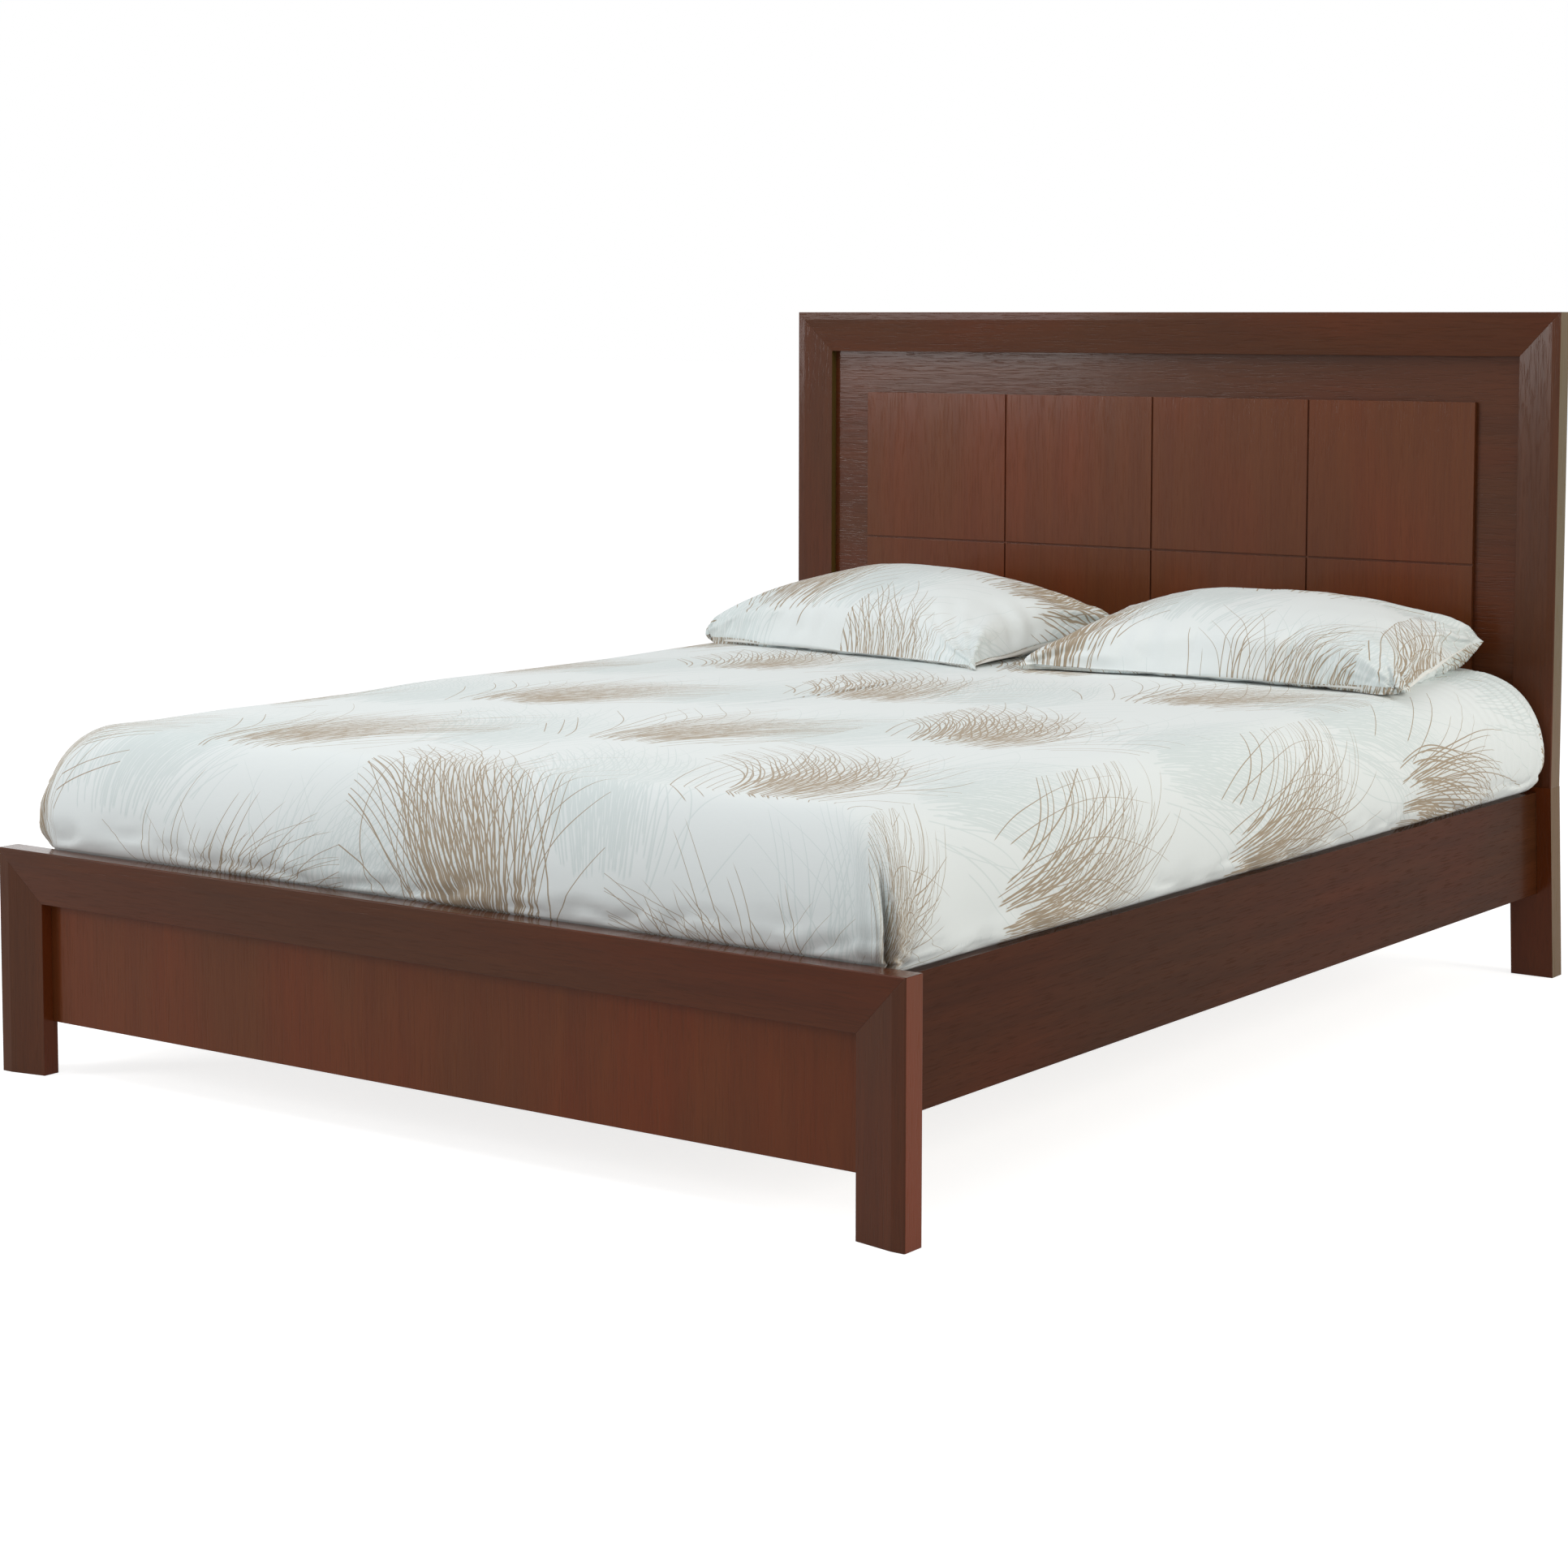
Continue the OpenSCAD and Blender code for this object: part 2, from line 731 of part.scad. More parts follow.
module leveller(s) {
    stem_top = pad_h + stem_l;
    color(nylon) translate([0, s * centre_leg_y, 0]) rotate_extrude()
        polygon([[0, 0], [pad_r - pad_edge, 0], [pad_r, pad_edge], [pad_r, pad_h - pad_edge],
                 [pad_r - pad_edge, pad_h], [stem_r, pad_h], [stem_r, stem_top - stem_edge],
                 [stem_r - stem_edge, stem_top], [0, stem_top]]);
}

// Mattress

// A rounded rectangle from its middle, made of squares and circles
module rounded_plan(w, l, r) {
    square([w - 2 * r, l], center = true);
    square([w, l - 2 * r], center = true);
    for (x = [-1, 1], y = [-1, 1]) translate([x * (w / 2 - r), y * (l / 2 - r)]) circle(r, $fn = 48);
}

module mattress() {
    color(ticking) translate([0, mattress_y0 + mattress_l / 2, mattress_bottom]) {
        linear_extrude(mattress_t) rounded_plan(mattress_w - 2 * piping_out, mattress_l - 2 * piping_out,
                                                mattress_r - piping_out);
        for (z = [0, mattress_t - piping_h])
            translate([0, 0, z]) linear_extrude(piping_h) rounded_plan(mattress_w, mattress_l, mattress_r);
    }
}

// Lofted soft forms

// Triangles between ring k and ring k + 1, each of n points, seen clockwise from outside
function strip(k, n) = [for (j = [0 : n - 1])
    let (a = k * n + j, b = k * n + (j + 1) % n, c = (k + 1) * n + (j + 1) % n, d = (k + 1) * n + j)
    each [[a, c, b], [a, d, c]]];

// A closed form through rings of n points, with a middle point at each end
module loft(rings, first, last) {
    n = len(rings[0]);
    m = len(rings);
    polyhedron(
        points = concat([for (r = rings) each r], [first, last]),
        faces = concat([for (k = [0 : m - 2]) each strip(k, n)],
                       [for (j = [0 : n - 1]) [m * n, j, (j + 1) % n]],
                       [for (j = [0 : n - 1]) [m * n + 1, (m - 1) * n + (j + 1) % n, (m - 1) * n + j]]));
}

// Points round a rectangle with round corners, counter-clockwise from above, and steps in each corner
corner_steps = 6;
function ring(x, y0, y1, r, z) = [for (q = [0 : 3], k = [0 : corner_steps])
    let (a = 90 * q + 90 * k / corner_steps - 90,
         cx = (q == 0 || q == 1) ? x - r : -x + r,
         cy = (q == 1 || q == 2) ? y1 - r : y0 + r)
    [cx + r * cos(a), cy + r * sin(a), z]];

// The duvet's outer plan before it swells, and its levels
tuck_x = rail_in - soft_gap;
tuck_y0 = foot_back + soft_gap;
tuck_y1 = head_front - soft_gap;
swell_z = rail_top + soft_gap;
seat_z = foot_h + soft_gap;
wide_z = foot_h + wide_rise;
shoulder_z = mattress_top + duvet_t;

// Corner radii of the duvet in plan: where it is tucked in, at its widest line and round its crown
tuck_r = mattress_r + tuck_t;
wide_r = 58;
crown_r = 30;

// Share of the swell reached at height z, from 0 at the seat to 1 at the widest line
function swell(z, seat) = z <= seat ? 0 : sqrt(1 - pow(1 - min(1, (z - seat) / (wide_z - seat)), 2));

function duvet_side_ring(z) =
    ring(tuck_x + side_swell * swell(z, swell_z),
         tuck_y0 - foot_swell * swell(z, seat_z),
         tuck_y1, tuck_r + (wide_r - tuck_r) * swell(z, swell_z), z);

function duvet_shoulder_ring(a) =
    let (k = 1 - cos(a))
    ring(tuck_x + side_swell - shoulder_w * k, tuck_y0 - foot_swell + foot_shoulder_w * k,
         tuck_y1 - head_shoulder_w * k, wide_r + (crown_r - wide_r) * k,
         wide_z + (shoulder_z - wide_z) * sin(a));

crown_x = tuck_x + side_swell - shoulder_w;
crown_y0 = tuck_y0 - foot_swell + foot_shoulder_w;
crown_y1 = tuck_y1 - head_shoulder_w;
crown_cy = (crown_y0 + crown_y1) / 2;
crown_hy = (crown_y1 - crown_y0) / 2;

// Height of the duvet's crown at a place inside its shoulder
function duvet_top(x, y) =
    let (s = min(1, max(abs(x) / crown_x, abs(y - crown_cy) / crown_hy)))
    shoulder_z + crown_h * (1 - s * s);

function duvet_crown_ring(s) =
    ring(crown_x * s, crown_cy - crown_hy * s, crown_cy + crown_hy * s, crown_r * s,
         shoulder_z + crown_h * (1 - s * s));

// The hollow that holds the mattress, from its ceiling down to the hem
hollow_x = mattress_w / 2 + soft_gap;
hollow_y0 = mattress_y0 - soft_gap;
hollow_y1 = mattress_y0 + mattress_l + soft_gap;
function hollow_ring(z) = ring(hollow_x, hollow_y0, hollow_y1, mattress_r + soft_gap, z);
hem_z = slat_top + hem_rise;
hollow_z = mattress_top + soft_gap;

// Levels up the duvet's side: from the lower of the rails' and the footboard's top to the higher,
// and on to the widest line; then angles up its shoulder and shares of its crown
first_seat = min(swell_z, seat_z);
last_seat = max(swell_z, seat_z);
rail_steps = 3;
foot_steps = 4;
side_bunch = 1.6;
side_levels = concat(
    [for (k = [0 : rail_steps - 1])
        first_seat + (last_seat - first_seat) * pow(k / rail_steps, side_bunch)],
    [for (k = [0 : foot_steps]) last_seat + (wide_z - last_seat) * pow(k / foot_steps, side_bunch)]);
shoulder_angles = [15 : 15 : 90];
crown_shares = [0.8, 0.6, 0.4, 0.2];

module duvet() {
    color(cotton) loft(
        concat([hollow_ring(hollow_z), hollow_ring(hem_z), duvet_side_ring(hem_z)],
               [for (z = side_levels) duvet_side_ring(z)],
               [for (a = shoulder_angles) duvet_shoulder_ring(a)],
               [for (s = crown_shares) duvet_crown_ring(s)]),
        [0, (hollow_y0 + hollow_y1) / 2, hollow_z],
        [0, crown_cy, shoulder_z + crown_h]);
}

// Pillows

// Direction of a pillow's outline at angle a, as shares of its half sizes: nearly a square
corner_power = 0.26;
function outline_share(a) =
    [sign(cos(a)) * pow(abs(cos(a)), corner_power), sign(sin(a)) * pow(abs(sin(a)), corner_power)];

// The corners stand out, and the sides between them draw in
draw_in = 0.06;
draw_power = 1.5;
function draw_share(a) = 1 - draw_in * (1 - pow(abs(sin(2 * a)), draw_power));

// Thickness share at shares u and v of the half sizes; u is positive towards the bed's side.
// Each fill gives how late a pillow thins out towards that edge, and how round the edge is
outer_fill = [2.8, 0.9];
inner_fill = [3, 0.8];
front_fill = [2.4, 0.6];
function edge_fill(share, fill) = pow(1 - pow(min(1, share), fill[0]), fill[1]);
function end_fill(u) = u > 0 ? edge_fill(u, outer_fill) : edge_fill(-u, inner_fill);
function pillow_fill(u, v) = end_fill(u) * edge_fill(abs(v), front_fill);

// Shape of the inner front corner's reach: it grows towards the pillow's inner end and its front
reach_power = [3, 2];
function corner_reach(u, v) = u < 0 ? pow(-u, reach_power[0]) * pow((1 - v) / 2, reach_power[1]) : 0;

// Shape of the back corners' lift: it grows towards the seam and the corners
lift_power = [6, 4];
function corner_lift(q, a) = pow(q, lift_power[0]) * pow(abs(sin(2 * a)), lift_power[1]);

// Clearance between a pillow and the duvet, and points and steps of the case and of what it holds
pillow_rest_gap = 1.4;
case_steps = [36, 9];
filling_steps = [20, 5];

// A point of a pillow: q is its reach, up is 1 over the seam and -1 under it, shrink moves it inside
function pillow_point(q, a, up, s, shrink) =
    let (margin = shrink > 0 ? case_margin + shrink : 0,
         share = q * outline_share(a),
         reach = s * (s > 0 ? corner_out_right : corner_out_left) * corner_reach(s * share[0], share[1]),
         p = draw_share(a) * [share[0] * (pillow_w / 2 - margin), share[1] * (pillow_d / 2 - margin)]
             - [reach, 0],
         turn = s > 0 ? pillow_turn_right : pillow_turn_left,
         x = pillow_shift + s * (pillow_w / 2 + pillow_spread) + p[0] * cos(turn) - p[1] * sin(turn),
         y = head_front - pillow_back + s * pillow_stagger + p[0] * sin(turn) + p[1] * cos(turn),
         back_share = p[1] / pillow_d + 0.5,
         seam = shoulder_z + pillow_front_rise + (pillow_back_rise - pillow_front_rise) * back_share
             + (p[1] > 0 ? ear_lift * corner_lift(q, a) : 0),
         h = (up > 0 ? pillow_top_h - s * pillow_plump : pillow_under_h) - shrink,
         rest = duvet_top(x, y) + pillow_rest_gap + shrink)
    [x, y, max(seam + up * h * pillow_fill(s * share[0], share[1]), rest)];

function pillow_ring(q, up, s, shrink, n) =
    [for (j = [0 : n - 1]) pillow_point(q, 360 * (j + 0.5) / n, up, s, shrink)];

// Rings from the pillow's middle below, out to the seam and back to its middle above
module pillow_form(s, shrink, counts) {
    n = counts[0];
    steps = counts[1];
    reach = [for (k = [1 : steps - 1]) sin(90 * k / steps)];
    loft(concat([for (q = reach) pillow_ring(q, -1, s, shrink, n)],
                [pillow_ring(1, 1, s, shrink, n)],
                [for (k = [steps - 2 : -1 : 0]) pillow_ring(reach[k], 1, s, shrink, n)]),
         pillow_point(0, 45, -1, s, shrink), pillow_point(0, 45, 1, s, shrink));
}

module pillowcase(s) {
    color(cotton) difference() {
        pillow_form(s, 0, case_steps);
        pillow_form(s, case_wall, filling_steps);
    }
}

module pillow_filling(s) {
    color(ticking) pillow_form(s, case_wall + soft_gap, filling_steps);
}

// Fastener groups

module dowels() {
    color(pale_wood) {
        foot_mitre_dowels();
        head_mitre_dowels();
        seam_dowels();
        rail_dowels();
    }
}

module plate_screws() {
    color(zinc) for (head = [false, true], s = [-1, 1], z = plate_screw_z)
        at_joint(head, s) translate([0, 0, z]) {
            translate([0, -screw_fit, 0]) rotate([-90, 0, 0]) screw(plate_screw_l);
            translate([0, screw_fit, 0]) rotate([90, 0, 0]) screw(plate_screw_l);
        }
}

module cleat_screws() {
    color(zinc) for (s = [-1, 1]) cleat_screw_places(s) screw(cleat_screw_l);
}

module slat_screws() {
    color(zinc) for (i = [1 : slat_count]) slat_screw_places(i) screw(slat_screw_l);
}

module bracket_screw_set() {
    bracket_wing_screws() screw(bracket_screw_l);
    bracket_beam_screws() screw(bracket_screw_l);
}

module bracket_screws() {
    color(zinc) {
        foot_bracket_place() bracket_screw_set();
        head_bracket_place() bracket_screw_set();
    }
}

module panel_screws() {
    color(zinc) panel_screw_places() screw(panel_screw_l);
}

module leg_bolts() {
    color(zinc) centre_leg_places() leg_bolt();
}

// Assembly

headboard_top_rail();
headboard_stile(-1);  // headboard_stile_left
headboard_stile(1);  // headboard_stile_right
headboard_bottom_rail();
headboard_cross_rail();
headboard_field_panel();
headboard_centre_panel();
headboard_leg(-1);  // headboard_leg_left
headboard_leg(1);  // headboard_leg_right
footboard_top_rail();
footboard_post(-1);  // footboard_post_left
footboard_post(1);  // footboard_post_right
footboard_panel();
footboard_back_rail();
side_rail(-1);  // side_rail_left
side_rail(1);  // side_rail_right
slat_cleat(-1);  // slat_cleat_left
slat_cleat(1);  // slat_cleat_right
color(zinc) at_joint(false, -1) hook_plate();  // hook_plate_foot_left
color(zinc) at_joint(false, 1) hook_plate();  // hook_plate_foot_right
color(zinc) at_joint(true, -1) hook_plate();  // hook_plate_head_left
color(zinc) at_joint(true, 1) hook_plate();  // hook_plate_head_right
color(zinc) at_joint(false, -1) receiver_plate();  // receiver_foot_left
color(zinc) at_joint(false, 1) receiver_plate();  // receiver_foot_right
color(zinc) at_joint(true, -1) receiver_plate();  // receiver_head_left
color(zinc) at_joint(true, 1) receiver_plate();  // receiver_head_right
centre_beam();
foot_bracket_place() beam_bracket();  // beam_bracket_foot
head_bracket_place() beam_bracket();  // beam_bracket_head
centre_leg(-1);  // centre_leg_foot
centre_leg(1);  // centre_leg_head
leveller(-1);  // leveller_foot
leveller(1);  // leveller_head
leg_bolts();
for (i = [1 : slat_count]) slat(i);
dowels();
plate_screws();
cleat_screws();
slat_screws();
bracket_screws();
panel_screws();
mattress();
duvet();
pillowcase(-1);  // pillowcase_left
pillowcase(1);  // pillowcase_right
pillow_filling(-1);  // pillow_filling_left
pillow_filling(1);  // pillow_filling_right
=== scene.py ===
"""Dresses a queen-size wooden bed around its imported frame: finishes, fittings, mattress and bedding."""

import math

import bmesh
import bpy
import numpy as np
from mathutils import Euler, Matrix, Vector, noise


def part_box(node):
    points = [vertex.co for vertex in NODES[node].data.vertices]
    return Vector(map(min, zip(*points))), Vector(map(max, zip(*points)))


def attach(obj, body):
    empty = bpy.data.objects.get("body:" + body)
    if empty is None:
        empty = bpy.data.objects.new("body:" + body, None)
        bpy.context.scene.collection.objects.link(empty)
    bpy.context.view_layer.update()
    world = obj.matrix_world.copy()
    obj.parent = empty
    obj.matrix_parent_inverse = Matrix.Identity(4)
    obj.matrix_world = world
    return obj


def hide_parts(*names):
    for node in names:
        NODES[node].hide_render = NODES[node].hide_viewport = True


bl_info = {
    "name": "Framed Queen Bed",
    "version": (1, 0, 0),
    "blender": (4, 5, 0),
    "location": "View3D > Sidebar > Bed",
    "description": "Builds the bedding, the fittings and the finishes of a wooden bed around its frame",
    "category": "Add Mesh",
}

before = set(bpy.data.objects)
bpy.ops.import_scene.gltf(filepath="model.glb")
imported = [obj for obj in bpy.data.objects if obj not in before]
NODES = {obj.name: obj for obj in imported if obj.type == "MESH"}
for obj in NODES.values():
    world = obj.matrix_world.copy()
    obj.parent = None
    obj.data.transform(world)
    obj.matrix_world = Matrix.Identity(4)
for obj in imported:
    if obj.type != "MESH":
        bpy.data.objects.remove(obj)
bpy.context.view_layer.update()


def low(node):
    """Lowest corner of a node of the frame."""
    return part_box(node)[0]


def high(node):
    """Highest corner of a node of the frame."""
    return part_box(node)[1]


# Places that the bedding takes from the frame
RAIL_IN = low("side_rail_right").x
RAIL_TOP = high("side_rail_right").z
FOOT_BACK = high("footboard_top_rail").y
FOOT_TOP = high("footboard_top_rail").z
HEAD_FRONT = low("headboard_top_rail").y


# Sizes and colours that a user would change

def tint(label, description, default):
    """A colour setting."""
    return bpy.props.FloatVectorProperty(
        name=label, description=description, subtype="COLOR", size=3, min=0, max=1, default=default)


def metres(label, description, least, most, default):
    """A setting in metres."""
    return bpy.props.FloatProperty(
        name=label, description=description, unit="LENGTH", min=least, max=most, default=default)


class WoodSettings(bpy.types.PropertyGroup):
    """Colours and gloss of the wood"""

    stain: tint("Stain", "Colour of the lacquered show wood", (0.124, 0.036, 0.0100))
    stain_deep: tint("Deep stain", "Colour of the show wood's darkest grain", (0.098, 0.0262, 0.0076))
    frame_stain: tint(
        "Frame stain", "Colour of the solid rails, stiles and posts", (0.088, 0.0275, 0.0090))
    frame_deep: tint("Deep frame stain", "Colour of the frame's darkest grain", (0.060, 0.0185, 0.0066))
    # The next two colours are painted side light: the faces across the bed take them as the lit tone that
    # light from the right gives the frame's sides, not as a stain of their own
    lit_side_stain: tint("Lit side colour", "Colour of the headboard's edges", (0.092, 0.058, 0.013))
    post_lit_side: tint("Post lit side colour", "Colour of the footboard posts' sides", (0.138, 0.032, 0.008))
    rail_stain: tint("Rail stain", "Colour of the side rails", (0.066, 0.0215, 0.0078))
    rail_deep: tint(
        "Deep rail stain", "Colour of the side rails' darkest grain", (0.040, 0.0132, 0.0050))
    pale: tint("Deck wood", "Colour of the plain wood of the deck", (0.63, 0.43, 0.24))
    pale_deep: tint("Deck grain", "Colour of the deck wood's late growth", (0.42, 0.24, 0.11))


class PrintSettings(bpy.types.PropertyGroup):
    """Colours and repeat of the printed cotton"""

    ground: tint("Ground", "Colour of the cotton", (0.745, 0.79, 0.79))
    brown: tint("Brown lines", "Colour of the brown sprays", (0.31, 0.228, 0.138))
    grey: tint("Grey lines", "Colour of the pale sprays", (0.56, 0.635, 0.63))
    repeat_width: metres("Repeat width", "Distance between the print's columns", 0.1, 2, 0.43)
    repeat_length: metres("Repeat length", "Distance between the tufts of a column", 0.1, 2, 0.56)


class BeddingSettings(bpy.types.PropertyGroup):
    """Sizes of the duvet, pillows and mattress"""

    side_swell: metres(
        "Side swell", "How far the duvet swells out over the side rails", 0.0, 0.06, 0.043)
    foot_swell: metres("Foot swell", "How far the duvet swells out over the footboard", 0.0, 0.03, 0.016)
    side_shoulder: metres(
        "Side shoulder", "Width of the duvet's rounded edge at its sides", 0.06, 0.15, 0.12)
    foot_shoulder: metres(
        "Foot shoulder", "Width of the duvet's rounded edge at the foot", 0.04, 0.084, 0.078)
    head_shoulder: metres(
        "Head shoulder", "Width of the duvet's rounded edge at the head", 0.016, 0.036, 0.032)
    crown: metres("Crown", "Height of the duvet's crown above its shoulder", 0.0, 0.03, 0.010)
    pillow_width: metres("Pillow length", "Length of each pillow", 0.5, 0.8, 0.724)
    pillow_depth: metres("Pillow depth", "Depth of each pillow", 0.3, 0.56, 0.50)
    pillow_height: metres(
        "Pillow crown", "Height of the pillows' crowns above their seams", 0.05, 0.14, 0.110)
    corner_left: metres(
        "Left corner", "Reach of the left pillow's inner front corner", 0.0, 0.096, 0.090)
    corner_right: metres(
        "Right corner", "Reach of the right pillow's inner front corner", 0.0, 0.016, 0.012)
    stitch: metres("Stitch", "Length of one stitch of the seams", 0.001, 0.01, 0.0032)


class StageSettings(bpy.types.PropertyGroup):
    """The floor, the lamps and the camera"""

    lens: bpy.props.FloatProperty(
        name="Lens", description="Focal length in millimetres", min=20, max=200, default=75.27)
    shift_across: bpy.props.FloatProperty(
        name="Shift across", description="Sideways shift of the picture", min=-1, max=1, default=0.0327)
    shift_up: bpy.props.FloatProperty(
        name="Shift up", description="Upward shift of the picture", min=-1, max=1, default=-0.1201)
    place: bpy.props.FloatVectorProperty(
        name="Camera place", description="Where the camera stands", subtype="TRANSLATION",
        unit="LENGTH", size=3, default=(3.0778, -4.4422, 1.1769))
    aim: bpy.props.FloatVectorProperty(
        name="Camera aim", description="Tilt, roll and turn of the camera", subtype="EULER",
        size=3, default=(math.radians(85.086), 0.0, math.radians(36.652)))
    floor: tint("Floor", "Colour of the floor", (0.55, 0.55, 0.55))
    floor_white: bpy.props.FloatProperty(
        name="Floor white", description="Light added to the floor where the camera sees it",
        min=0, max=2, default=0.78)
    room: bpy.props.FloatProperty(
        name="Room light", description="Strength of the even light of the room", min=0, max=2, default=0.47)
    key: bpy.props.FloatProperty(
        name="Window lamp", description="Power of the tall lamp at the left, in watts",
        min=0, max=2000, default=105)
    overhead: bpy.props.FloatProperty(
        name="Overhead lamp", description="Power of the lamp above the foot, in watts",
        min=0, max=2000, default=80)
    fill: bpy.props.FloatProperty(
        name="Side lamp", description="Power of the lamp at the right, in watts",
        min=0, max=2000, default=112)


# Node trees

class Tree:
    """Adds nodes to one tree and links them. Functions that build a tree call their Tree t."""

    def __init__(self, tree):
        self.tree = tree

    def add(self, kind, inputs=None, **settings):
        """A new node; inputs maps sockets to values, nodes or sockets."""
        node = self.tree.nodes.new(kind)
        for name, value in settings.items():
            setattr(node, name, value)
        for key, value in (inputs or {}).items():
            self.put(node.inputs[key], value)
        return node

    def put(self, socket, value):
        """Links value to the socket, or sets it there."""
        if isinstance(value, bpy.types.Node):
            value = value.outputs[0]
        if isinstance(value, bpy.types.NodeSocket):
            self.tree.links.new(value, socket)
        else:
            socket.default_value = value

    def math(self, operation, a, b=None, c=None):
        """The result of one sum."""
        values = {i: v for i, v in enumerate((a, b, c)) if v is not None}
        return self.add("ShaderNodeMath", values, operation=operation).outputs[0]

    def stretched(self, vector, by):
        """A vector multiplied by another, part by part."""
        return self.add("ShaderNodeVectorMath", {0: vector, 1: by}, operation="MULTIPLY").outputs[0]

    def span(self, value, a, b, c=0.0, d=1.0, smooth=False):
        """value taken from the span a to b to the span c to d."""
        node = self.add("ShaderNodeMapRange", {0: value, 1: a, 2: b, 3: c, 4: d},
                        interpolation_type="SMOOTHSTEP" if smooth else "LINEAR")
        return node.outputs[0]

    def blend(self, share, a, b, mode="MIX"):
        """Two colours blended by share."""
        node = self.add("ShaderNodeMix", data_type="RGBA", blend_type=mode)
        self.put(node.inputs["Factor"], share)
        self.put(node.inputs[6], a)
        self.put(node.inputs[7], b)
        return node.outputs[2]

    def noise(self, vector, scale, detail=2.0, rough=0.5, distortion=0.0):
        """The value of a noise texture."""
        node = self.add("ShaderNodeTexNoise", {"Vector": vector, "Scale": scale, "Detail": detail,
                                               "Roughness": rough, "Distortion": distortion})
        return node.outputs[0]

    def parts(self, vector):
        """The three parts of a vector."""
        return self.add("ShaderNodeSeparateXYZ", {0: vector}).outputs

    def join(self, *parts):
        """A vector of two or three parts."""
        return self.add("ShaderNodeCombineXYZ", dict(enumerate(parts)))


def new_group(name, inputs, outputs):
    """An empty shader group; inputs maps names to values, None for a vector, and outputs are values."""
    tree = bpy.data.node_groups.new(name, "ShaderNodeTree")
    for label, default in inputs.items():
        kind = "NodeSocketVector" if default is None else "NodeSocketFloat"
        socket = tree.interface.new_socket(label, in_out="INPUT", socket_type=kind)
        if default is not None:
            socket.default_value = default
    for label in outputs:
        tree.interface.new_socket(label, in_out="OUTPUT", socket_type="NodeSocketFloat")
    t = Tree(tree)
    return t, t.add("NodeGroupInput").outputs, t.add("NodeGroupOutput").inputs


def colour(value):
    """A colour of three shares as four."""
    return (value[0], value[1], value[2], 1.0)


def cleared(owner):
    """The tree of a material or a world, emptied."""
    owner.use_nodes = True
    owner.node_tree.nodes.clear()
    return Tree(owner.node_tree)


def new_material(name):
    """A material with its tree and its Principled shader."""
    material = bpy.data.materials.new(name)
    t = cleared(material)
    shader = t.add("ShaderNodeBsdfPrincipled")
    t.add("ShaderNodeOutputMaterial", {"Surface": shader})
    return material, t, shader


def place(t, name):
    """One of the shared groups, placed in a tree."""
    return t.add("ShaderNodeGroup", node_tree=bpy.data.node_groups[name])


# Shared effects

# Depth of the point that a tuft's blades fan out of, below the tuft's foot
POLE_DEPTH = 0.24
# Side to side sway of a blade, as an angle, and how often it sways along its length
BLADE_SWAY = 0.08
SWAY_RATE = 4.5
# Share by which a tuft's outermost blades are shorter, and how far up its blades can start
OUTER_SHORTER = 0.35
BLADE_START = 0.10
# Layers of a tuft: count of blades, share of the spread, bend, share of the width and seed
TUFT_LAYERS = (
    (60.0, 0.8, 1.3, 1.0, 1.7),
    (52.0, 0.9, 2.1, 1.0, 5.1),
    (44.0, 1.0, 0.5, 0.9, 9.4),
    (36.0, 1.2, 3.0, 0.85, 13.8),
    (16.0, 1.9, -1.2, 0.6, 21.3),
)
# How far a tuft strays from its place in the repeat, across and along
STRAY_ACROSS = 0.07
STRAY_ALONG = 0.06


def make_wood_grain():
    """Grain that runs along the vector's short axis: colour share, gloss share and height."""
    t, given, out = new_group("Wood grain", {"Vector": None, "Streak": 34.0, "Pore": 420.0, "Blotch": 3.2},
                              ("Figure", "Cloud", "Pores", "Height"))
    streak = t.noise(given["Vector"], given["Streak"], 5.0, 0.6, 0.25)
    fine = t.noise(given["Vector"], t.math("MULTIPLY", given["Streak"], 5.5), 3.0, 0.6)
    pore = t.noise(given["Vector"], given["Pore"], 1.5, 0.5)
    cloud = t.noise(given["Vector"], given["Blotch"], 3.0, 0.55)
    figure = t.math("ADD", t.math("MULTIPLY", t.span(streak, 0.32, 0.7), 0.62),
                    t.math("MULTIPLY", t.span(fine, 0.3, 0.7), 0.38))
    pores = t.span(pore, 0.34, 0.46, 1.0, 0.0, smooth=True)
    height = t.math("SUBTRACT", t.math("MULTIPLY", fine, 0.6), t.math("MULTIPLY", pores, 0.8))
    t.put(out["Figure"], figure)
    t.put(out["Cloud"], t.span(cloud, 0.3, 0.7))
    t.put(out["Pores"], pores)
    t.put(out["Height"], height)


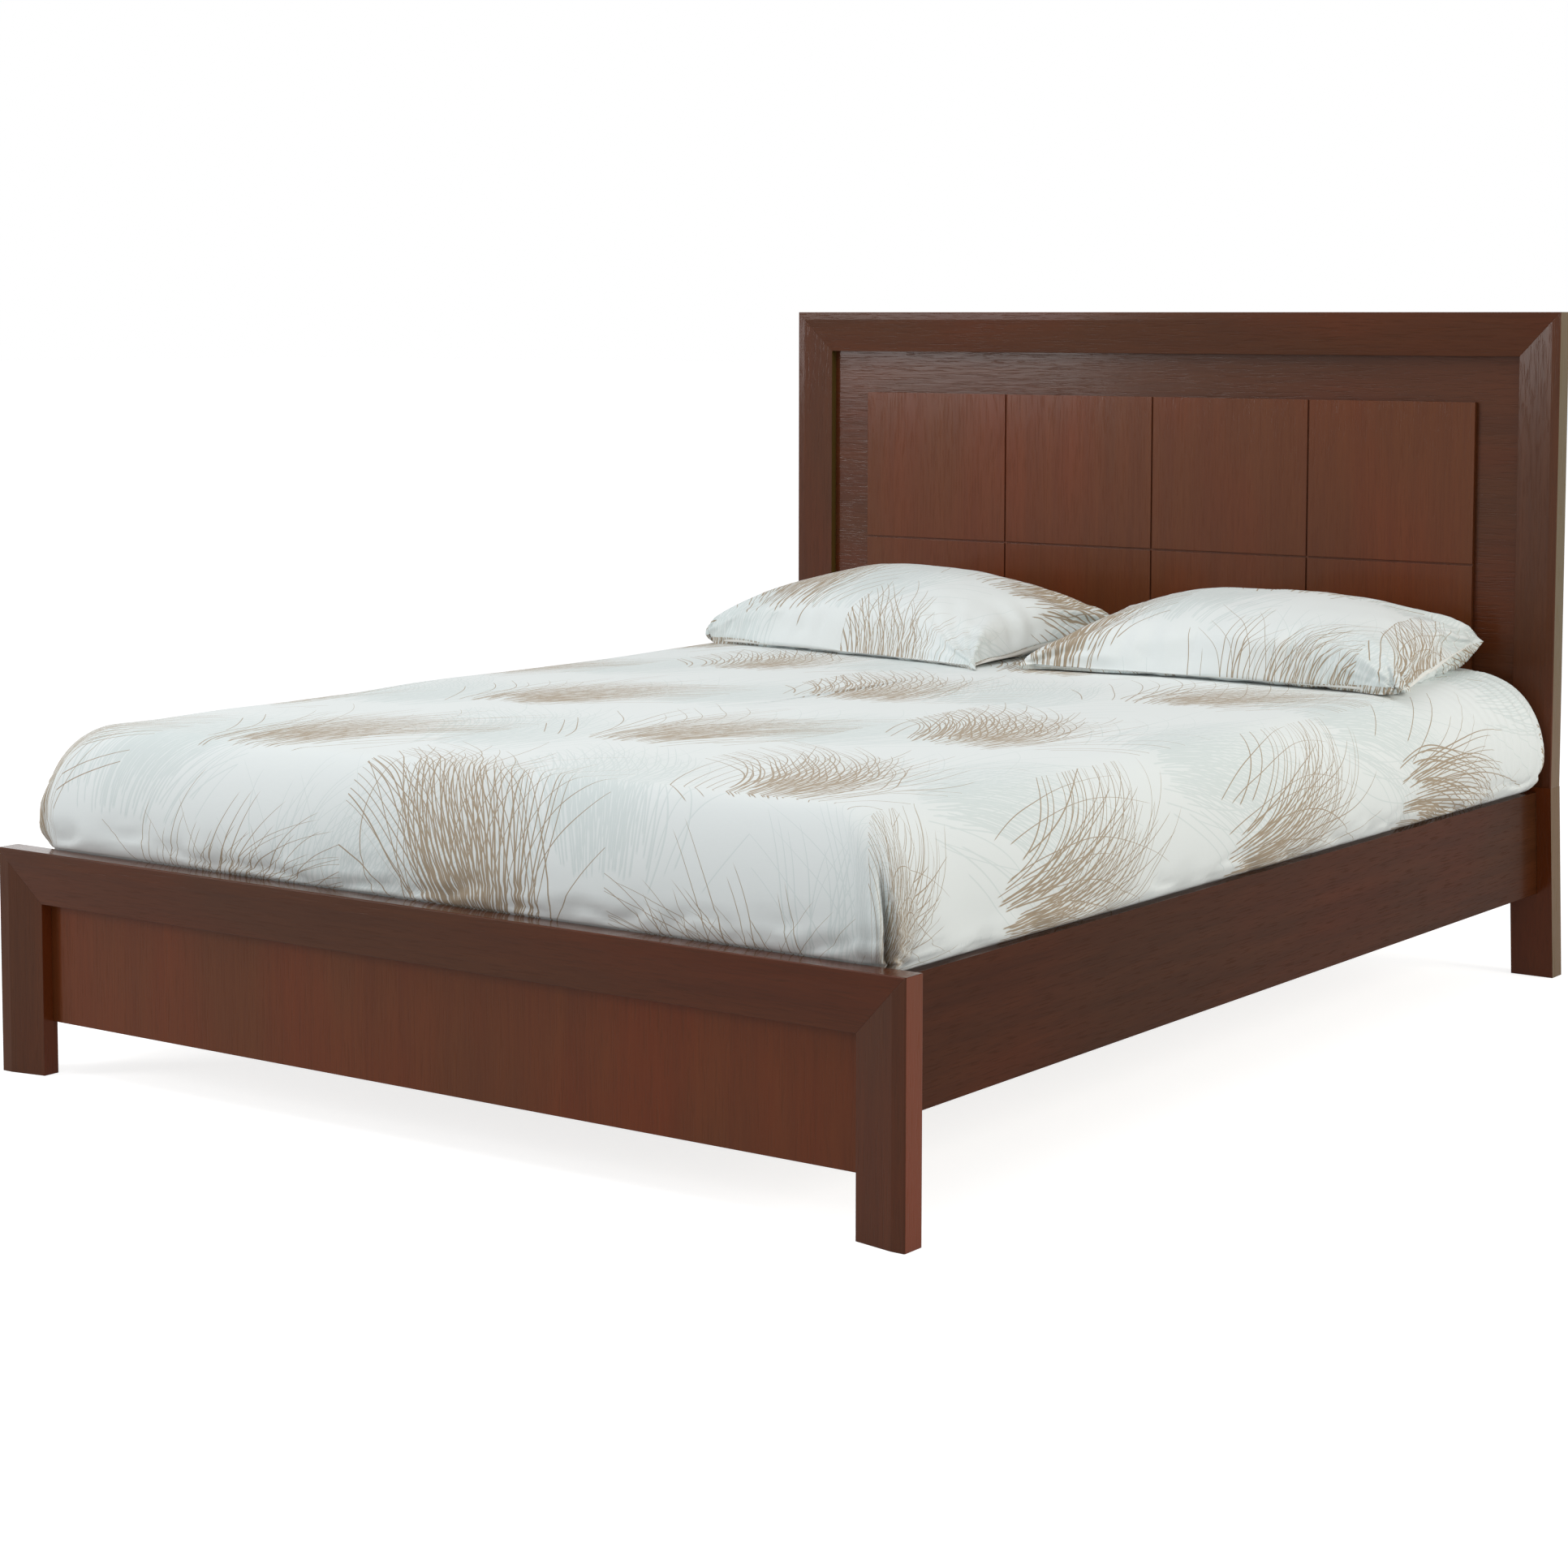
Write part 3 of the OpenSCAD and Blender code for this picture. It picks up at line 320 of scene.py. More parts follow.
def make_blades():
    """One layer of a grass tuft: bent blades that fan out of a point below the vector's origin."""
    t, given, out = new_group("Blades", {"Vector": None, "Count": 40.0, "Spread": 0.3, "Bend": 2.0,
                                         "Reach": 0.3, "Width": 0.0011, "Seed": 0.0}, ("Mask",))
    across, above = t.parts(given["Vector"])[:2]
    up = t.math("ADD", above, POLE_DEPTH)
    away = t.math("POWER", t.math("ADD", t.math("POWER", across, 2.0), t.math("POWER", up, 2.0)), 0.5)
    out_of_base = t.math("SUBTRACT", away, POLE_DEPTH)
    angle = t.math("ARCTAN2", across, up)
    bow = t.math("MULTIPLY", given["Bend"], t.math("POWER", t.math("MAXIMUM", out_of_base, 0.0), 2.0))
    sway_at = t.join(t.math("MULTIPLY", angle, 5.0), t.math("MULTIPLY", away, SWAY_RATE), given["Seed"])
    sway = t.math("SUBTRACT", t.noise(sway_at, 1.0, 0.0, 0.4), 0.5)
    turned = t.math("ADD", t.math("SUBTRACT", angle, bow), t.math("MULTIPLY", sway, BLADE_SWAY))
    steps = t.math("MULTIPLY", turned, given["Count"])
    blade = t.join(t.math("FLOOR", steps), given["Seed"])
    chance = t.add("ShaderNodeTexWhiteNoise", {0: blade}, noise_dimensions="3D").outputs
    luck = t.parts(chance[1])
    side = t.math("DIVIDE", turned, given["Spread"])
    shorter = t.math("MULTIPLY_ADD", t.math("POWER", side, 2.0), -OUTER_SHORTER, 1.0)
    growth = t.math("MULTIPLY", t.math("MULTIPLY_ADD", luck[0], 0.5, 0.5), shorter)
    tall = t.math("MULTIPLY", given["Reach"], growth)
    foot = t.math("MULTIPLY", luck[1], BLADE_START)
    share = t.math("DIVIDE", t.math("SUBTRACT", out_of_base, foot), tall)
    inside = t.math("MULTIPLY", t.span(share, 0.0, 0.02), t.span(share, 0.97, 1.0, 1.0, 0.0))
    kept = t.math("GREATER_THAN", chance[0], t.math("POWER", t.math("ABSOLUTE", side), 1.6))
    taper = t.math("MULTIPLY_ADD", t.math("POWER", share, 2.0), -0.7, 1.0)
    widest = t.math("DIVIDE", t.math("MULTIPLY", given["Width"], given["Count"]), away)
    half = t.math("MULTIPLY", widest, taper)
    off = t.math("MULTIPLY_ADD", t.math("SUBTRACT", luck[2], 0.5), 0.5, 0.5)
    far = t.math("ABSOLUTE", t.math("SUBTRACT", t.math("FRACT", steps), off))
    line = t.math("SUBTRACT", 1.0, t.span(far, t.math("MULTIPLY", half, 0.6), half))
    t.put(out["Mask"], t.math("MULTIPLY", line, t.math("MULTIPLY", inside, kept)))


def make_spray():
    """Grass tufts in a half-drop layout over cloth measured in metres: their blades and a soft wash."""
    t, given, out = new_group("Grass print", {"Vector": None, "Repeat X": 0.4, "Repeat Y": 0.5,
                                              "Shift X": 0.0, "Shift Y": 0.0, "Reach": 0.34,
                                              "Spread": 0.3, "Width": 0.0011, "Seed": 0.0},
                              ("Lines", "Wash"))
    parts = t.parts(given["Vector"])
    across = t.math("DIVIDE", t.math("ADD", parts[0], given["Shift X"]), given["Repeat X"])
    column = t.math("FLOOR", across)
    drop = t.math("MULTIPLY", t.math("MODULO", t.math("ADD", column, 64.0), 2.0), 0.5)
    along = t.math("ADD", t.math("DIVIDE", t.math("ADD", parts[1], given["Shift Y"]), given["Repeat Y"]),
                   drop)
    cell = t.join(column, t.math("FLOOR", along), given["Seed"])
    luck = t.parts(t.add("ShaderNodeTexWhiteNoise", {0: cell}, noise_dimensions="3D").outputs[1])
    x = t.math("MULTIPLY", t.math("SUBTRACT", t.math("FRACT", across), 0.5), given["Repeat X"])
    y = t.math("MULTIPLY", t.math("FRACT", along), given["Repeat Y"])
    x = t.math("SUBTRACT", x, t.math("MULTIPLY", t.math("SUBTRACT", luck[0], 0.5), STRAY_ACROSS))
    y = t.math("SUBTRACT", y, t.math("MULTIPLY_ADD", luck[1], STRAY_ALONG, STRAY_ALONG / 2))
    flip = t.math("SIGN", t.math("SUBTRACT", luck[2], 0.42))
    flipped_x = t.math("MULTIPLY", x, flip)
    at = t.join(flipped_x, y)
    lines = None
    for count, spread, bend, width, seed in TUFT_LAYERS:
        layer = place(t, "Blades")
        t.put(layer.inputs["Vector"], at)
        t.put(layer.inputs["Reach"], given["Reach"])
        t.put(layer.inputs["Spread"], t.math("MULTIPLY", given["Spread"], spread))
        t.put(layer.inputs["Width"], t.math("MULTIPLY", given["Width"], width))
        t.put(layer.inputs["Seed"], t.math("MULTIPLY_ADD", luck[0], 40.0, seed))
        layer.inputs["Count"].default_value = count
        layer.inputs["Bend"].default_value = bend
        lines = layer.outputs[0] if lines is None else t.math("MAXIMUM", lines, layer.outputs[0])
    # The wash is a soft egg round the blades, which leans as they bend and widens upwards
    up = t.math("DIVIDE", y, given["Reach"])
    leaning = t.math("MULTIPLY_ADD", t.math("POWER", up, 2.0), -0.05, flipped_x)
    wide = t.math("MULTIPLY", given["Spread"], t.math("MULTIPLY_ADD", up, 0.28, 0.16))
    sideways = t.math("POWER", t.math("DIVIDE", leaning, wide), 2.0)
    upwards = t.math("POWER", t.math("MULTIPLY_ADD", up, 2.2, -0.95), 2.0)
    body = t.math("SUBTRACT", 1.0, t.math("ADD", sideways, upwards))
    t.put(out["Lines"], lines)
    t.put(out["Wash"], t.span(body, -0.1, 0.8, smooth=True))


def make_weave():
    """Fine plain weave and soft creases of cotton, as a height."""
    t, given, out = new_group("Cotton surface", {"Vector": None, "Thread": 1500.0, "Crease": 22.0},
                              ("Height", "Slub"))
    warp = t.noise(t.stretched(given["Vector"], (1.0, 0.06, 1.0)), given["Thread"], 1.0, 0.5)
    weft = t.noise(t.stretched(given["Vector"], (0.06, 1.0, 1.0)), given["Thread"], 1.0, 0.5)
    crease = t.noise(given["Vector"], given["Crease"], 4.0, 0.55, 0.6)
    ridge = t.math("ABSOLUTE", t.math("SUBTRACT", crease, 0.5))
    t.put(out["Slub"], t.math("MULTIPLY", t.math("ADD", warp, weft), 0.5))
    t.put(out["Height"], t.math("ADD", t.math("MULTIPLY", t.math("ADD", warp, weft), 0.06), ridge))


# Materials

# Scale of the grain's noise on each axis, by the axis that the grain runs along
GRAIN_STRETCH = {"x": (0.05, 1.0, 1.0), "y": (1.0, 0.05, 1.0), "z": (1.0, 1.0, 0.05)}
# Share of lacquer gloss where wood is seen almost edge on
GRAZING_COAT = 1.0
# Radius of the lacquer over sharp edges
EASED_EDGE = 0.0014
# Tint of the stain where it has turned redder
REDDER = (1.22, 0.9, 0.72, 1.0)


def lacquered_wood(name, light, deep, along, side=None, coat=0.18, relief=0.0004):
    """Stained and lacquered wood whose grain runs along one axis; its sides can take another colour, which is
    painted side light.
    """
    material, t, shader = new_material(name)
    stretch = GRAIN_STRETCH[along]
    where = t.add("ShaderNodeTexCoord").outputs["Object"]
    grain = place(t, "Wood grain")
    t.put(grain.inputs["Vector"], t.add("ShaderNodeMapping", {"Vector": where, "Scale": stretch}))
    clouds = t.add("ShaderNodeMapping", {"Vector": where, "Scale": tuple(0.3 + 0.7 * v for v in stretch)})
    light, deep = colour(light), colour(deep)
    # Painted side light: faces whose normal lies across the bed blend to the side colour, the lit tone of a
    # side under light from the right
    if side:
        normal = t.parts(t.add("ShaderNodeNewGeometry").outputs["Normal"])[0]
        sideways = t.span(t.math("ABSOLUTE", normal), 0.7, 0.9)
        light = t.blend(sideways, light, colour(side))
        deep = t.blend(sideways, deep, colour(side))
    tone = t.blend(grain.outputs["Figure"], deep, light)
    red = t.blend(1.0, tone, REDDER, mode="MULTIPLY")
    tone = t.blend(t.span(t.noise(clouds, 5.0, 3.0), 0.4, 0.68), tone, red)
    tone = t.blend(t.math("MULTIPLY", grain.outputs["Pores"], 0.45), tone, deep)
    t.put(shader.inputs["Base Color"], tone)
    lacquer = t.span(grain.outputs["Cloud"], 0.0, 1.0, 0.34, 0.46)
    t.put(shader.inputs["Roughness"], t.math("MULTIPLY_ADD", grain.outputs["Pores"], 0.15, lacquer))
    eased = t.add("ShaderNodeBevel", {"Radius": EASED_EDGE})
    bump = t.add("ShaderNodeBump", {"Strength": 0.3, "Distance": relief, "Height": grain.outputs["Height"],
                                    "Normal": eased})
    t.put(shader.inputs["Normal"], bump)
    t.put(shader.inputs["Coat Normal"], bump)
    shader.inputs["Specular IOR Level"].default_value = coat / 3
    facing = t.add("ShaderNodeLayerWeight", {"Blend": 0.5}).outputs["Facing"]
    t.put(shader.inputs["Coat Weight"], t.span(facing, 0.64, 0.8, coat, GRAZING_COAT))
    shader.inputs["Coat Roughness"].default_value = 0.13
    return material


def plain_wood(name, light, deep, along):
    """Planed softwood with bands of late growth along one axis."""
    material, t, shader = new_material(name)
    where = t.add("ShaderNodeTexCoord").outputs["Object"]
    grain_at = t.add("ShaderNodeMapping", {"Vector": where, "Scale": GRAIN_STRETCH[along]})
    grain = place(t, "Wood grain")
    t.put(grain.inputs["Vector"], grain_at)
    bend = t.noise(grain_at, 6.0, 3.0, 0.5)
    ring = t.math("SINE", t.math("MULTIPLY", bend, 90.0))
    late = t.span(ring, 0.2, 1.0, 0.0, 0.75, smooth=True)
    tone = t.blend(late, colour(light), colour(deep))
    tone = t.blend(t.math("MULTIPLY", grain.outputs["Figure"], 0.35), tone, colour(light))
    t.put(shader.inputs["Base Color"], tone)
    t.put(shader.inputs["Roughness"], t.span(grain.outputs["Figure"], 0.0, 1.0, 0.62, 0.78))
    bump = t.add("ShaderNodeBump", {"Strength": 0.4, "Distance": 0.0004, "Height": grain.outputs["Height"]})
    t.put(shader.inputs["Normal"], bump)
    return material


def zinc_steel():
    """Bright zinc plating with soft crystals and fine scratches."""
    material, t, shader = new_material("Zinc steel")
    where = t.add("ShaderNodeTexCoord").outputs["Object"]
    cells = t.add("ShaderNodeTexVoronoi", {"Vector": where, "Scale": 160.0}).outputs["Distance"]
    dull = t.noise(where, 45.0, 4.0, 0.6)
    scratch = t.noise(t.add("ShaderNodeMapping", {"Vector": where, "Scale": (1.0, 0.05, 1.0)}), 900.0, 1.0)
    bright, grey = (0.68, 0.69, 0.70, 1), (0.50, 0.52, 0.54, 1)
    t.put(shader.inputs["Base Color"], t.blend(t.span(dull, 0.3, 0.7), grey, bright))
    rough = t.span(dull, 0.3, 0.7, 0.26, 0.42)
    t.put(shader.inputs["Roughness"], t.math("ADD", rough, t.math("MULTIPLY", cells, 0.1)))
    shader.inputs["Metallic"].default_value = 1.0
    bump = t.add("ShaderNodeBump", {"Strength": 0.25, "Distance": 0.0001, "Height": scratch})
    t.put(shader.inputs["Normal"], bump)
    return material


def black_nylon():
    """Moulded nylon with a fine spark texture."""
    material, t, shader = new_material("Black nylon")
    where = t.add("ShaderNodeTexCoord").outputs["Object"]
    spark = t.noise(where, 1400.0, 2.0, 0.6)
    dust = t.noise(where, 60.0, 3.0, 0.6)
    black, dusty = (0.02, 0.02, 0.022, 1), (0.075, 0.072, 0.068, 1)
    t.put(shader.inputs["Base Color"], t.blend(t.span(dust, 0.45, 0.8, 0.0, 0.4), black, dusty))
    t.put(shader.inputs["Roughness"], t.span(spark, 0.2, 0.8, 0.5, 0.68))
    bump = t.add("ShaderNodeBump", {"Strength": 0.3, "Distance": 0.0001, "Height": spark})
    t.put(shader.inputs["Normal"], bump)
    return material


# Reach of the print's tallest blades, and how far the grey tufts lie above the brown ones
TUFT_REACH = 0.44
GREY_RISE = 0.16
# Share by which the cotton's thicker threads are darker
SLUB_DARKER = 0.045


def printed_cotton(name, design, shift, scale=1.0):
    """Cotton with tufts of fine grass that follow the cloth's own map, in metres."""
    material, t, shader = new_material(name)
    cloth = t.add("ShaderNodeUVMap", uv_map="Cloth").outputs[0]
    surface = place(t, "Cotton surface")
    t.put(surface.inputs["Vector"], cloth)
    slub = colour([share * (1 - SLUB_DARKER) for share in design.ground])
    tone = t.blend(t.span(surface.outputs["Slub"], 0.3, 0.7, 0.0, 0.5), colour(design.ground), slub)
    wide, long = design.repeat_width * scale, design.repeat_length * scale
    # Each ink: colour, strength of its wash and lines, place, seed, spread and width of its blades
    for ink, wash, strength, move, seed, spread, width in (
            (design.grey, 0.16, 0.55, (wide / 2, GREY_RISE), 3.0, 0.42, 0.0018),
            (design.brown, 0.09, 0.9, (0.0, 0.0), 11.0, 0.36, 0.0016)):
        print_layer = place(t, "Grass print")
        t.put(print_layer.inputs["Vector"], cloth)
        for key, value in (("Repeat X", wide), ("Repeat Y", long), ("Shift X", shift[0] + move[0]),
                           ("Shift Y", shift[1] + move[1]), ("Seed", seed), ("Reach", TUFT_REACH * scale),
                           ("Spread", spread), ("Width", width)):
            print_layer.inputs[key].default_value = value
        tone = t.blend(t.math("MULTIPLY", print_layer.outputs["Wash"], wash), tone, colour(ink))
        tone = t.blend(t.math("MULTIPLY", print_layer.outputs["Lines"], strength), tone, colour(ink))
    t.put(shader.inputs["Base Color"], tone)
    t.put(shader.inputs["Roughness"], t.span(surface.outputs["Slub"], 0.2, 0.8, 0.66, 0.8))
    shader.inputs["Sheen Weight"].default_value = 0.1
    shader.inputs["Sheen Roughness"].default_value = 0.4
    shader.inputs["Specular IOR Level"].default_value = 0.35
    bump = t.add("ShaderNodeBump", {"Strength": 0.3, "Distance": 0.0015, "Height": surface.outputs["Height"]})
    t.put(shader.inputs["Normal"], bump)
    return material


def plain_cloth(name, light, dark, thread, crease=30.0):
    """Plain woven or bonded cloth; thread is how fine it is."""
    material, t, shader = new_material(name)
    where = t.add("ShaderNodeTexCoord").outputs["Object"]
    surface = place(t, "Cotton surface")
    t.put(surface.inputs["Vector"], where)
    surface.inputs["Thread"].default_value = thread
    surface.inputs["Crease"].default_value = crease
    figure = t.noise(where, 34.0, 2.0, 0.5)
    tone = t.blend(t.span(surface.outputs["Slub"], 0.3, 0.7), light, dark)
    tone = t.blend(t.span(figure, 0.48, 0.56, 0.0, 0.18, smooth=True), tone, dark)
    t.put(shader.inputs["Base Color"], tone)
    t.put(shader.inputs["Roughness"], t.span(surface.outputs["Slub"], 0.2, 0.8, 0.74, 0.9))
    shader.inputs["Sheen Weight"].default_value = 0.15
    bump = t.add("ShaderNodeBump", {"Strength": 0.3, "Distance": 0.002, "Height": surface.outputs["Height"]})
    t.put(shader.inputs["Normal"], bump)
    return material


def sewing_thread():
    """Twisted cotton thread."""
    material, t, shader = new_material("Sewing thread")
    where = t.add("ShaderNodeTexCoord").outputs["Object"]
    twist = t.noise(where, 2600.0, 1.0)
    shaded, lit = (0.60, 0.63, 0.62, 1), (0.76, 0.79, 0.78, 1)
    t.put(shader.inputs["Base Color"], t.blend(t.span(twist, 0.3, 0.7), shaded, lit))
    t.put(shader.inputs["Roughness"], t.span(twist, 0.3, 0.7, 0.55, 0.75))
    return material


def seen_directly(t):
    """1 for what the camera sees straight on, in a reflection or through a clear piece."""
    rays = t.add("ShaderNodeLightPath").outputs
    through = t.math("MAXIMUM", rays["Is Glossy Ray"], rays["Is Transmission Ray"])
    return t.math("MAXIMUM", rays["Is Camera Ray"], through)


def dress(names, material):
    """Puts a material on nodes of the frame."""
    for name in names:
        for slot in NODES[name].material_slots:
            slot.material = material


# Meshes

def new_piece(name, data):
    """An object of this data, in the scene and at the origin."""
    made = bpy.data.objects.new(name, data)
    bpy.context.scene.collection.objects.link(made)
    return made


def new_object(name, vertices, faces, material, maps=None, smooth=True):
    """A mesh object at the origin; maps gives a cloth map point for each face corner."""
    mesh = bpy.data.meshes.new(name)
    mesh.from_pydata([tuple(v) for v in vertices], [], [tuple(f) for f in faces])
    mesh.materials.append(material)
    if maps is not None:
        layer = mesh.uv_layers.new(name="Cloth")
        layer.data.foreach_set("uv", np.asarray(maps, dtype=np.float32).ravel())
    mesh.polygons.foreach_set("use_smooth", [smooth] * len(mesh.polygons))
    mesh.update()
    return new_piece(name, mesh)


def band_faces(lower, upper, count):
    """Faces between two rings of count corners; lower and upper number the rings' first corners."""
    return [(lower + j, lower + (j + 1) % count, upper + (j + 1) % count, upper + j) for j in range(count)]


def cup_faces(rings, count):
    """Faces between rings of count corners each, and one face that closes the last ring."""
    faces = []
    for k in range(rings - 1):
        faces += band_faces(k * count, (k + 1) * count, count)
    return faces + [tuple(range((rings - 1) * count, rings * count))]


def smooth_step(a, b, x):
    """0 below a, 1 above b and an even curve between, for numbers or arrays."""
    s = np.clip((x - a) / (b - a), 0.0, 1.0)
    return s * s * (3 - 2 * s)


def noise_at(points, scale, seed=0.0):
    """Smooth noise from -1 to 1 at an array of points."""
    shift = Vector((seed * 7.13, seed * 3.71, seed * 5.37))
    return np.array([noise.noise(Vector(p) * scale + shift) for p in points])


def noise_over(x, y, z, scale, seed):
    """Smooth noise from -1 to 1 over a grid, given as three arrays of one shape."""
    points = np.stack([x, y, z], axis=-1).reshape(-1, 3)
    return noise_at(points, scale, seed).reshape(x.shape)


def ring_plan(x, y0, y1, radius, steps, head_radius=None, gather=1.0):
    """Points round a rectangle with round corners, and their outward directions.

    The rectangle runs from -x to x and from y0 to y1. steps counts the points across, along and round a
    corner. gather above 1 crowds the points of the long sides towards the head."""
    across, along, corner = steps
    head = head_radius or radius
    corners = ((x - radius, y0 + radius, -90, radius), (x - head, y1 - head, 0, head),
               (-x + head, y1 - head, 90, head), (-x + radius, y0 + radius, 180, radius))
    points, ways = [], []
    for k, (middle_x, middle_y, start, r) in enumerate(corners):
        for j in range(corner + 1):
            turn = math.radians(start + 90 * j / corner)
            way = (math.cos(turn), math.sin(turn))
            points.append((middle_x + r * way[0], middle_y + r * way[1]))
            ways.append(way)
        next_x, next_y, _, next_r = corners[(k + 1) % 4]
        first = np.array(points[-1])
        last = np.array((next_x + next_r * way[0], next_y + next_r * way[1]))
        side_steps = across if k % 2 else along
        for j in range(1, side_steps):
            share = j / side_steps
            if k == 0:
                share = 1 - (1 - share) ** gather
            elif k == 2:
                share = share ** gather
            points.append(tuple(first + (last - first) * share))
            ways.append(way)
    return np.array(points), np.array(ways)


def swell(z, seat, wide):
    """Share of the swell reached at height z: none at the seat, all of it at the widest level."""
    if z <= seat:
        return 0.0
    left = 1 - min(1.0, (z - seat) / (wide - seat))
    return math.sqrt(1 - left ** 2)


# Repeated pieces

def new_geometry(name, inputs):
    """An empty geometry tree that takes a geometry and named sizes; each size is (name, kind, default)."""
    tree = bpy.data.node_groups.new(name, "GeometryNodeTree")
    tree.interface.new_socket("Geometry", in_out="INPUT", socket_type="NodeSocketGeometry")
    for label, kind, default in inputs:
        socket = tree.interface.new_socket(label, in_out="INPUT", socket_type=kind)
        if default is not None:
            socket.default_value = default
    tree.interface.new_socket("Geometry", in_out="OUTPUT", socket_type="NodeSocketGeometry")
    t = Tree(tree)
    return t, t.add("NodeGroupInput").outputs, t.add("NodeGroupOutput").inputs


def make_repeat(name):
    """Stands copies of one piece at points, turned by the points' own directions."""
    t, given, out = new_geometry(name, [("Piece", "NodeSocketObject", None), ("Size", "NodeSocketFloat", 1.0),
                                        ("Material", "NodeSocketMaterial", None)])
    forward = t.add("GeometryNodeInputNamedAttribute", {"Name": "forward"}, data_type="FLOAT_VECTOR")
    upward = t.add("GeometryNodeInputNamedAttribute", {"Name": "upward"}, data_type="FLOAT_VECTOR")
    turned = t.add("FunctionNodeAlignRotationToVector", {"Vector": upward}, axis="Z")
    turned = t.add("FunctionNodeAlignRotationToVector", {"Rotation": turned, "Vector": forward}, axis="X",
                   pivot_axis="Z")
    source = t.add("GeometryNodeObjectInfo", {"Object": given["Piece"]})
    points = t.add("GeometryNodeMeshToPoints", {"Mesh": given["Geometry"]})
    copies = t.add("GeometryNodeInstanceOnPoints", {"Points": points, "Instance": source.outputs["Geometry"],
                                                    "Rotation": turned, "Scale": given["Size"]})
    plain = t.add("GeometryNodeRealizeInstances", {"Geometry": copies})
    painted = t.add("GeometryNodeSetMaterial", {"Geometry": plain, "Material": given["Material"]})
    t.put(out["Geometry"], painted)
    return t.tree


def repeated(name, piece, places, upward, forward, material, size=1.0):
    """A plain mesh of copies of piece at places; upward and forward turn each copy."""
    tree = bpy.data.node_groups.get("Repeat at points") or make_repeat("Repeat at points")
    mesh = bpy.data.meshes.new(name + "_points")
    mesh.from_pydata([tuple(v) for v in places], [], [])
    for label, values in (("upward", upward), ("forward", forward)):
        layer = mesh.attributes.new(label, "FLOAT_VECTOR", "POINT")
        layer.data.foreach_set("vector", np.asarray(values, dtype=np.float32).ravel())
    holder = new_piece(name + "_points", mesh)
    repeat = holder.modifiers.new("Repeat", "NODES")
    repeat.node_group = tree
    for item in tree.interface.items_tree:
        if item.item_type == "SOCKET" and item.in_out == "INPUT" and item.name != "Geometry":
            repeat[item.identifier] = {"Piece": piece, "Size": size, "Material": material}[item.name]
    bpy.context.view_layer.update()
    graph = bpy.context.evaluated_depsgraph_get()
    made = new_piece(name, bpy.data.meshes.new_from_object(holder.evaluated_get(graph)))
    bpy.data.objects.remove(holder)
    return made


def loose_parts(node):
    """The corners of each separate solid in a node of the frame, as arrays."""
    mesh = NODES[node].data
    points = np.array([vertex.co for vertex in mesh.vertices])
    places = {}
    index = [places.setdefault(tuple(np.round(point, 5)), len(places)) for point in points]
    parent = list(range(len(places)))

    def root(i):
        while parent[i] != i:
            parent[i] = parent[parent[i]]
            i = parent[i]
        return i

    for face in mesh.polygons:
        corners = [index[i] for i in face.vertices]
        for other in corners[1:]:
            parent[root(corners[0])] = root(other)
    groups = {}
    for i, point in enumerate(points):
        groups.setdefault(root(index[i]), []).append(point)
    return [np.array(group) for group in groups.values()]


def screw_axis(part):
    """A screw's head centre, its direction out of the head and its length, from its corners."""
    middle = part.mean(0)
    centred = part - (part.max(0) + part.min(0)) / 2
    axis = np.linalg.svd(centred, full_matrices=False)[2][0]
    along = (part - middle) @ axis
    wide = np.linalg.norm((part - middle) - np.outer(along, axis), axis=1)
    if along[wide.argmax()] < (along.max() + along.min()) / 2:
        axis, along = -axis, -along
    head = part[along > along.max() - 1e-4].mean(0)
    return head, axis, along.max() - along.min()


def new_screw(name, length, head_r, shank_r):
    """One countersunk screw with a cross recess, its head's middle at the origin and its tip below."""
    mesh = bmesh.new()
    sides, cone, tip, edge = 20, 0.0022, 0.003, 0.0003
    arm, half, sink = head_r * 0.56, head_r * 0.13, 0.0014

    def circle(radius, z):
        turns = [2 * math.pi * i / sides for i in range(sides)]
        return [mesh.verts.new((radius * math.cos(turn), radius * math.sin(turn), z)) for turn in turns]

    def cross(share, z):
        corners = [(arm, -half), (arm, half), (half, half), (half, arm), (-half, arm), (-half, half),
                   (-arm, half), (-arm, -half), (-half, -half), (-half, -arm), (half, -arm), (half, -half)]
        return [mesh.verts.new((x * share, y * share, z)) for x, y in corners]

    def band(lower, upper):
        for i in range(len(lower)):
            n = (i + 1) % len(lower)
            mesh.faces.new((lower[i], lower[n], upper[n], upper[i]))

    levels = ((edge, -length), (shank_r * 0.8, tip - length), (shank_r, tip * 1.4 - length),
              (shank_r, -cone - edge), (head_r, -edge), (head_r - edge, 0))
    rings = [circle(radius, z) for radius, z in levels]
    for lower, upper in zip(rings, rings[1:]):
        band(lower, upper)
    mesh.faces.new(list(reversed(rings[0])))
    rim = cross(1.0, 0.0)
    floor = cross(0.72, -sink)
    band(rim, floor)
    mesh.faces.new(floor)
    edges = [mesh.edges.get((a, b)) or mesh.edges.new((a, b))
             for loop in (rings[-1], rim) for a, b in zip(loop, loop[1:] + loop[:1])]
    bmesh.ops.triangle_fill(mesh, edges=edges, use_beauty=True, normal=(0, 0, 1))
    bmesh.ops.recalc_face_normals(mesh, faces=mesh.faces)
    data = bpy.data.meshes.new(name)
    mesh.to_mesh(data)
    mesh.free()
    return new_piece(name, data)


# Turn of each screw's recess from the one before it
SCREW_TURN = 2.4


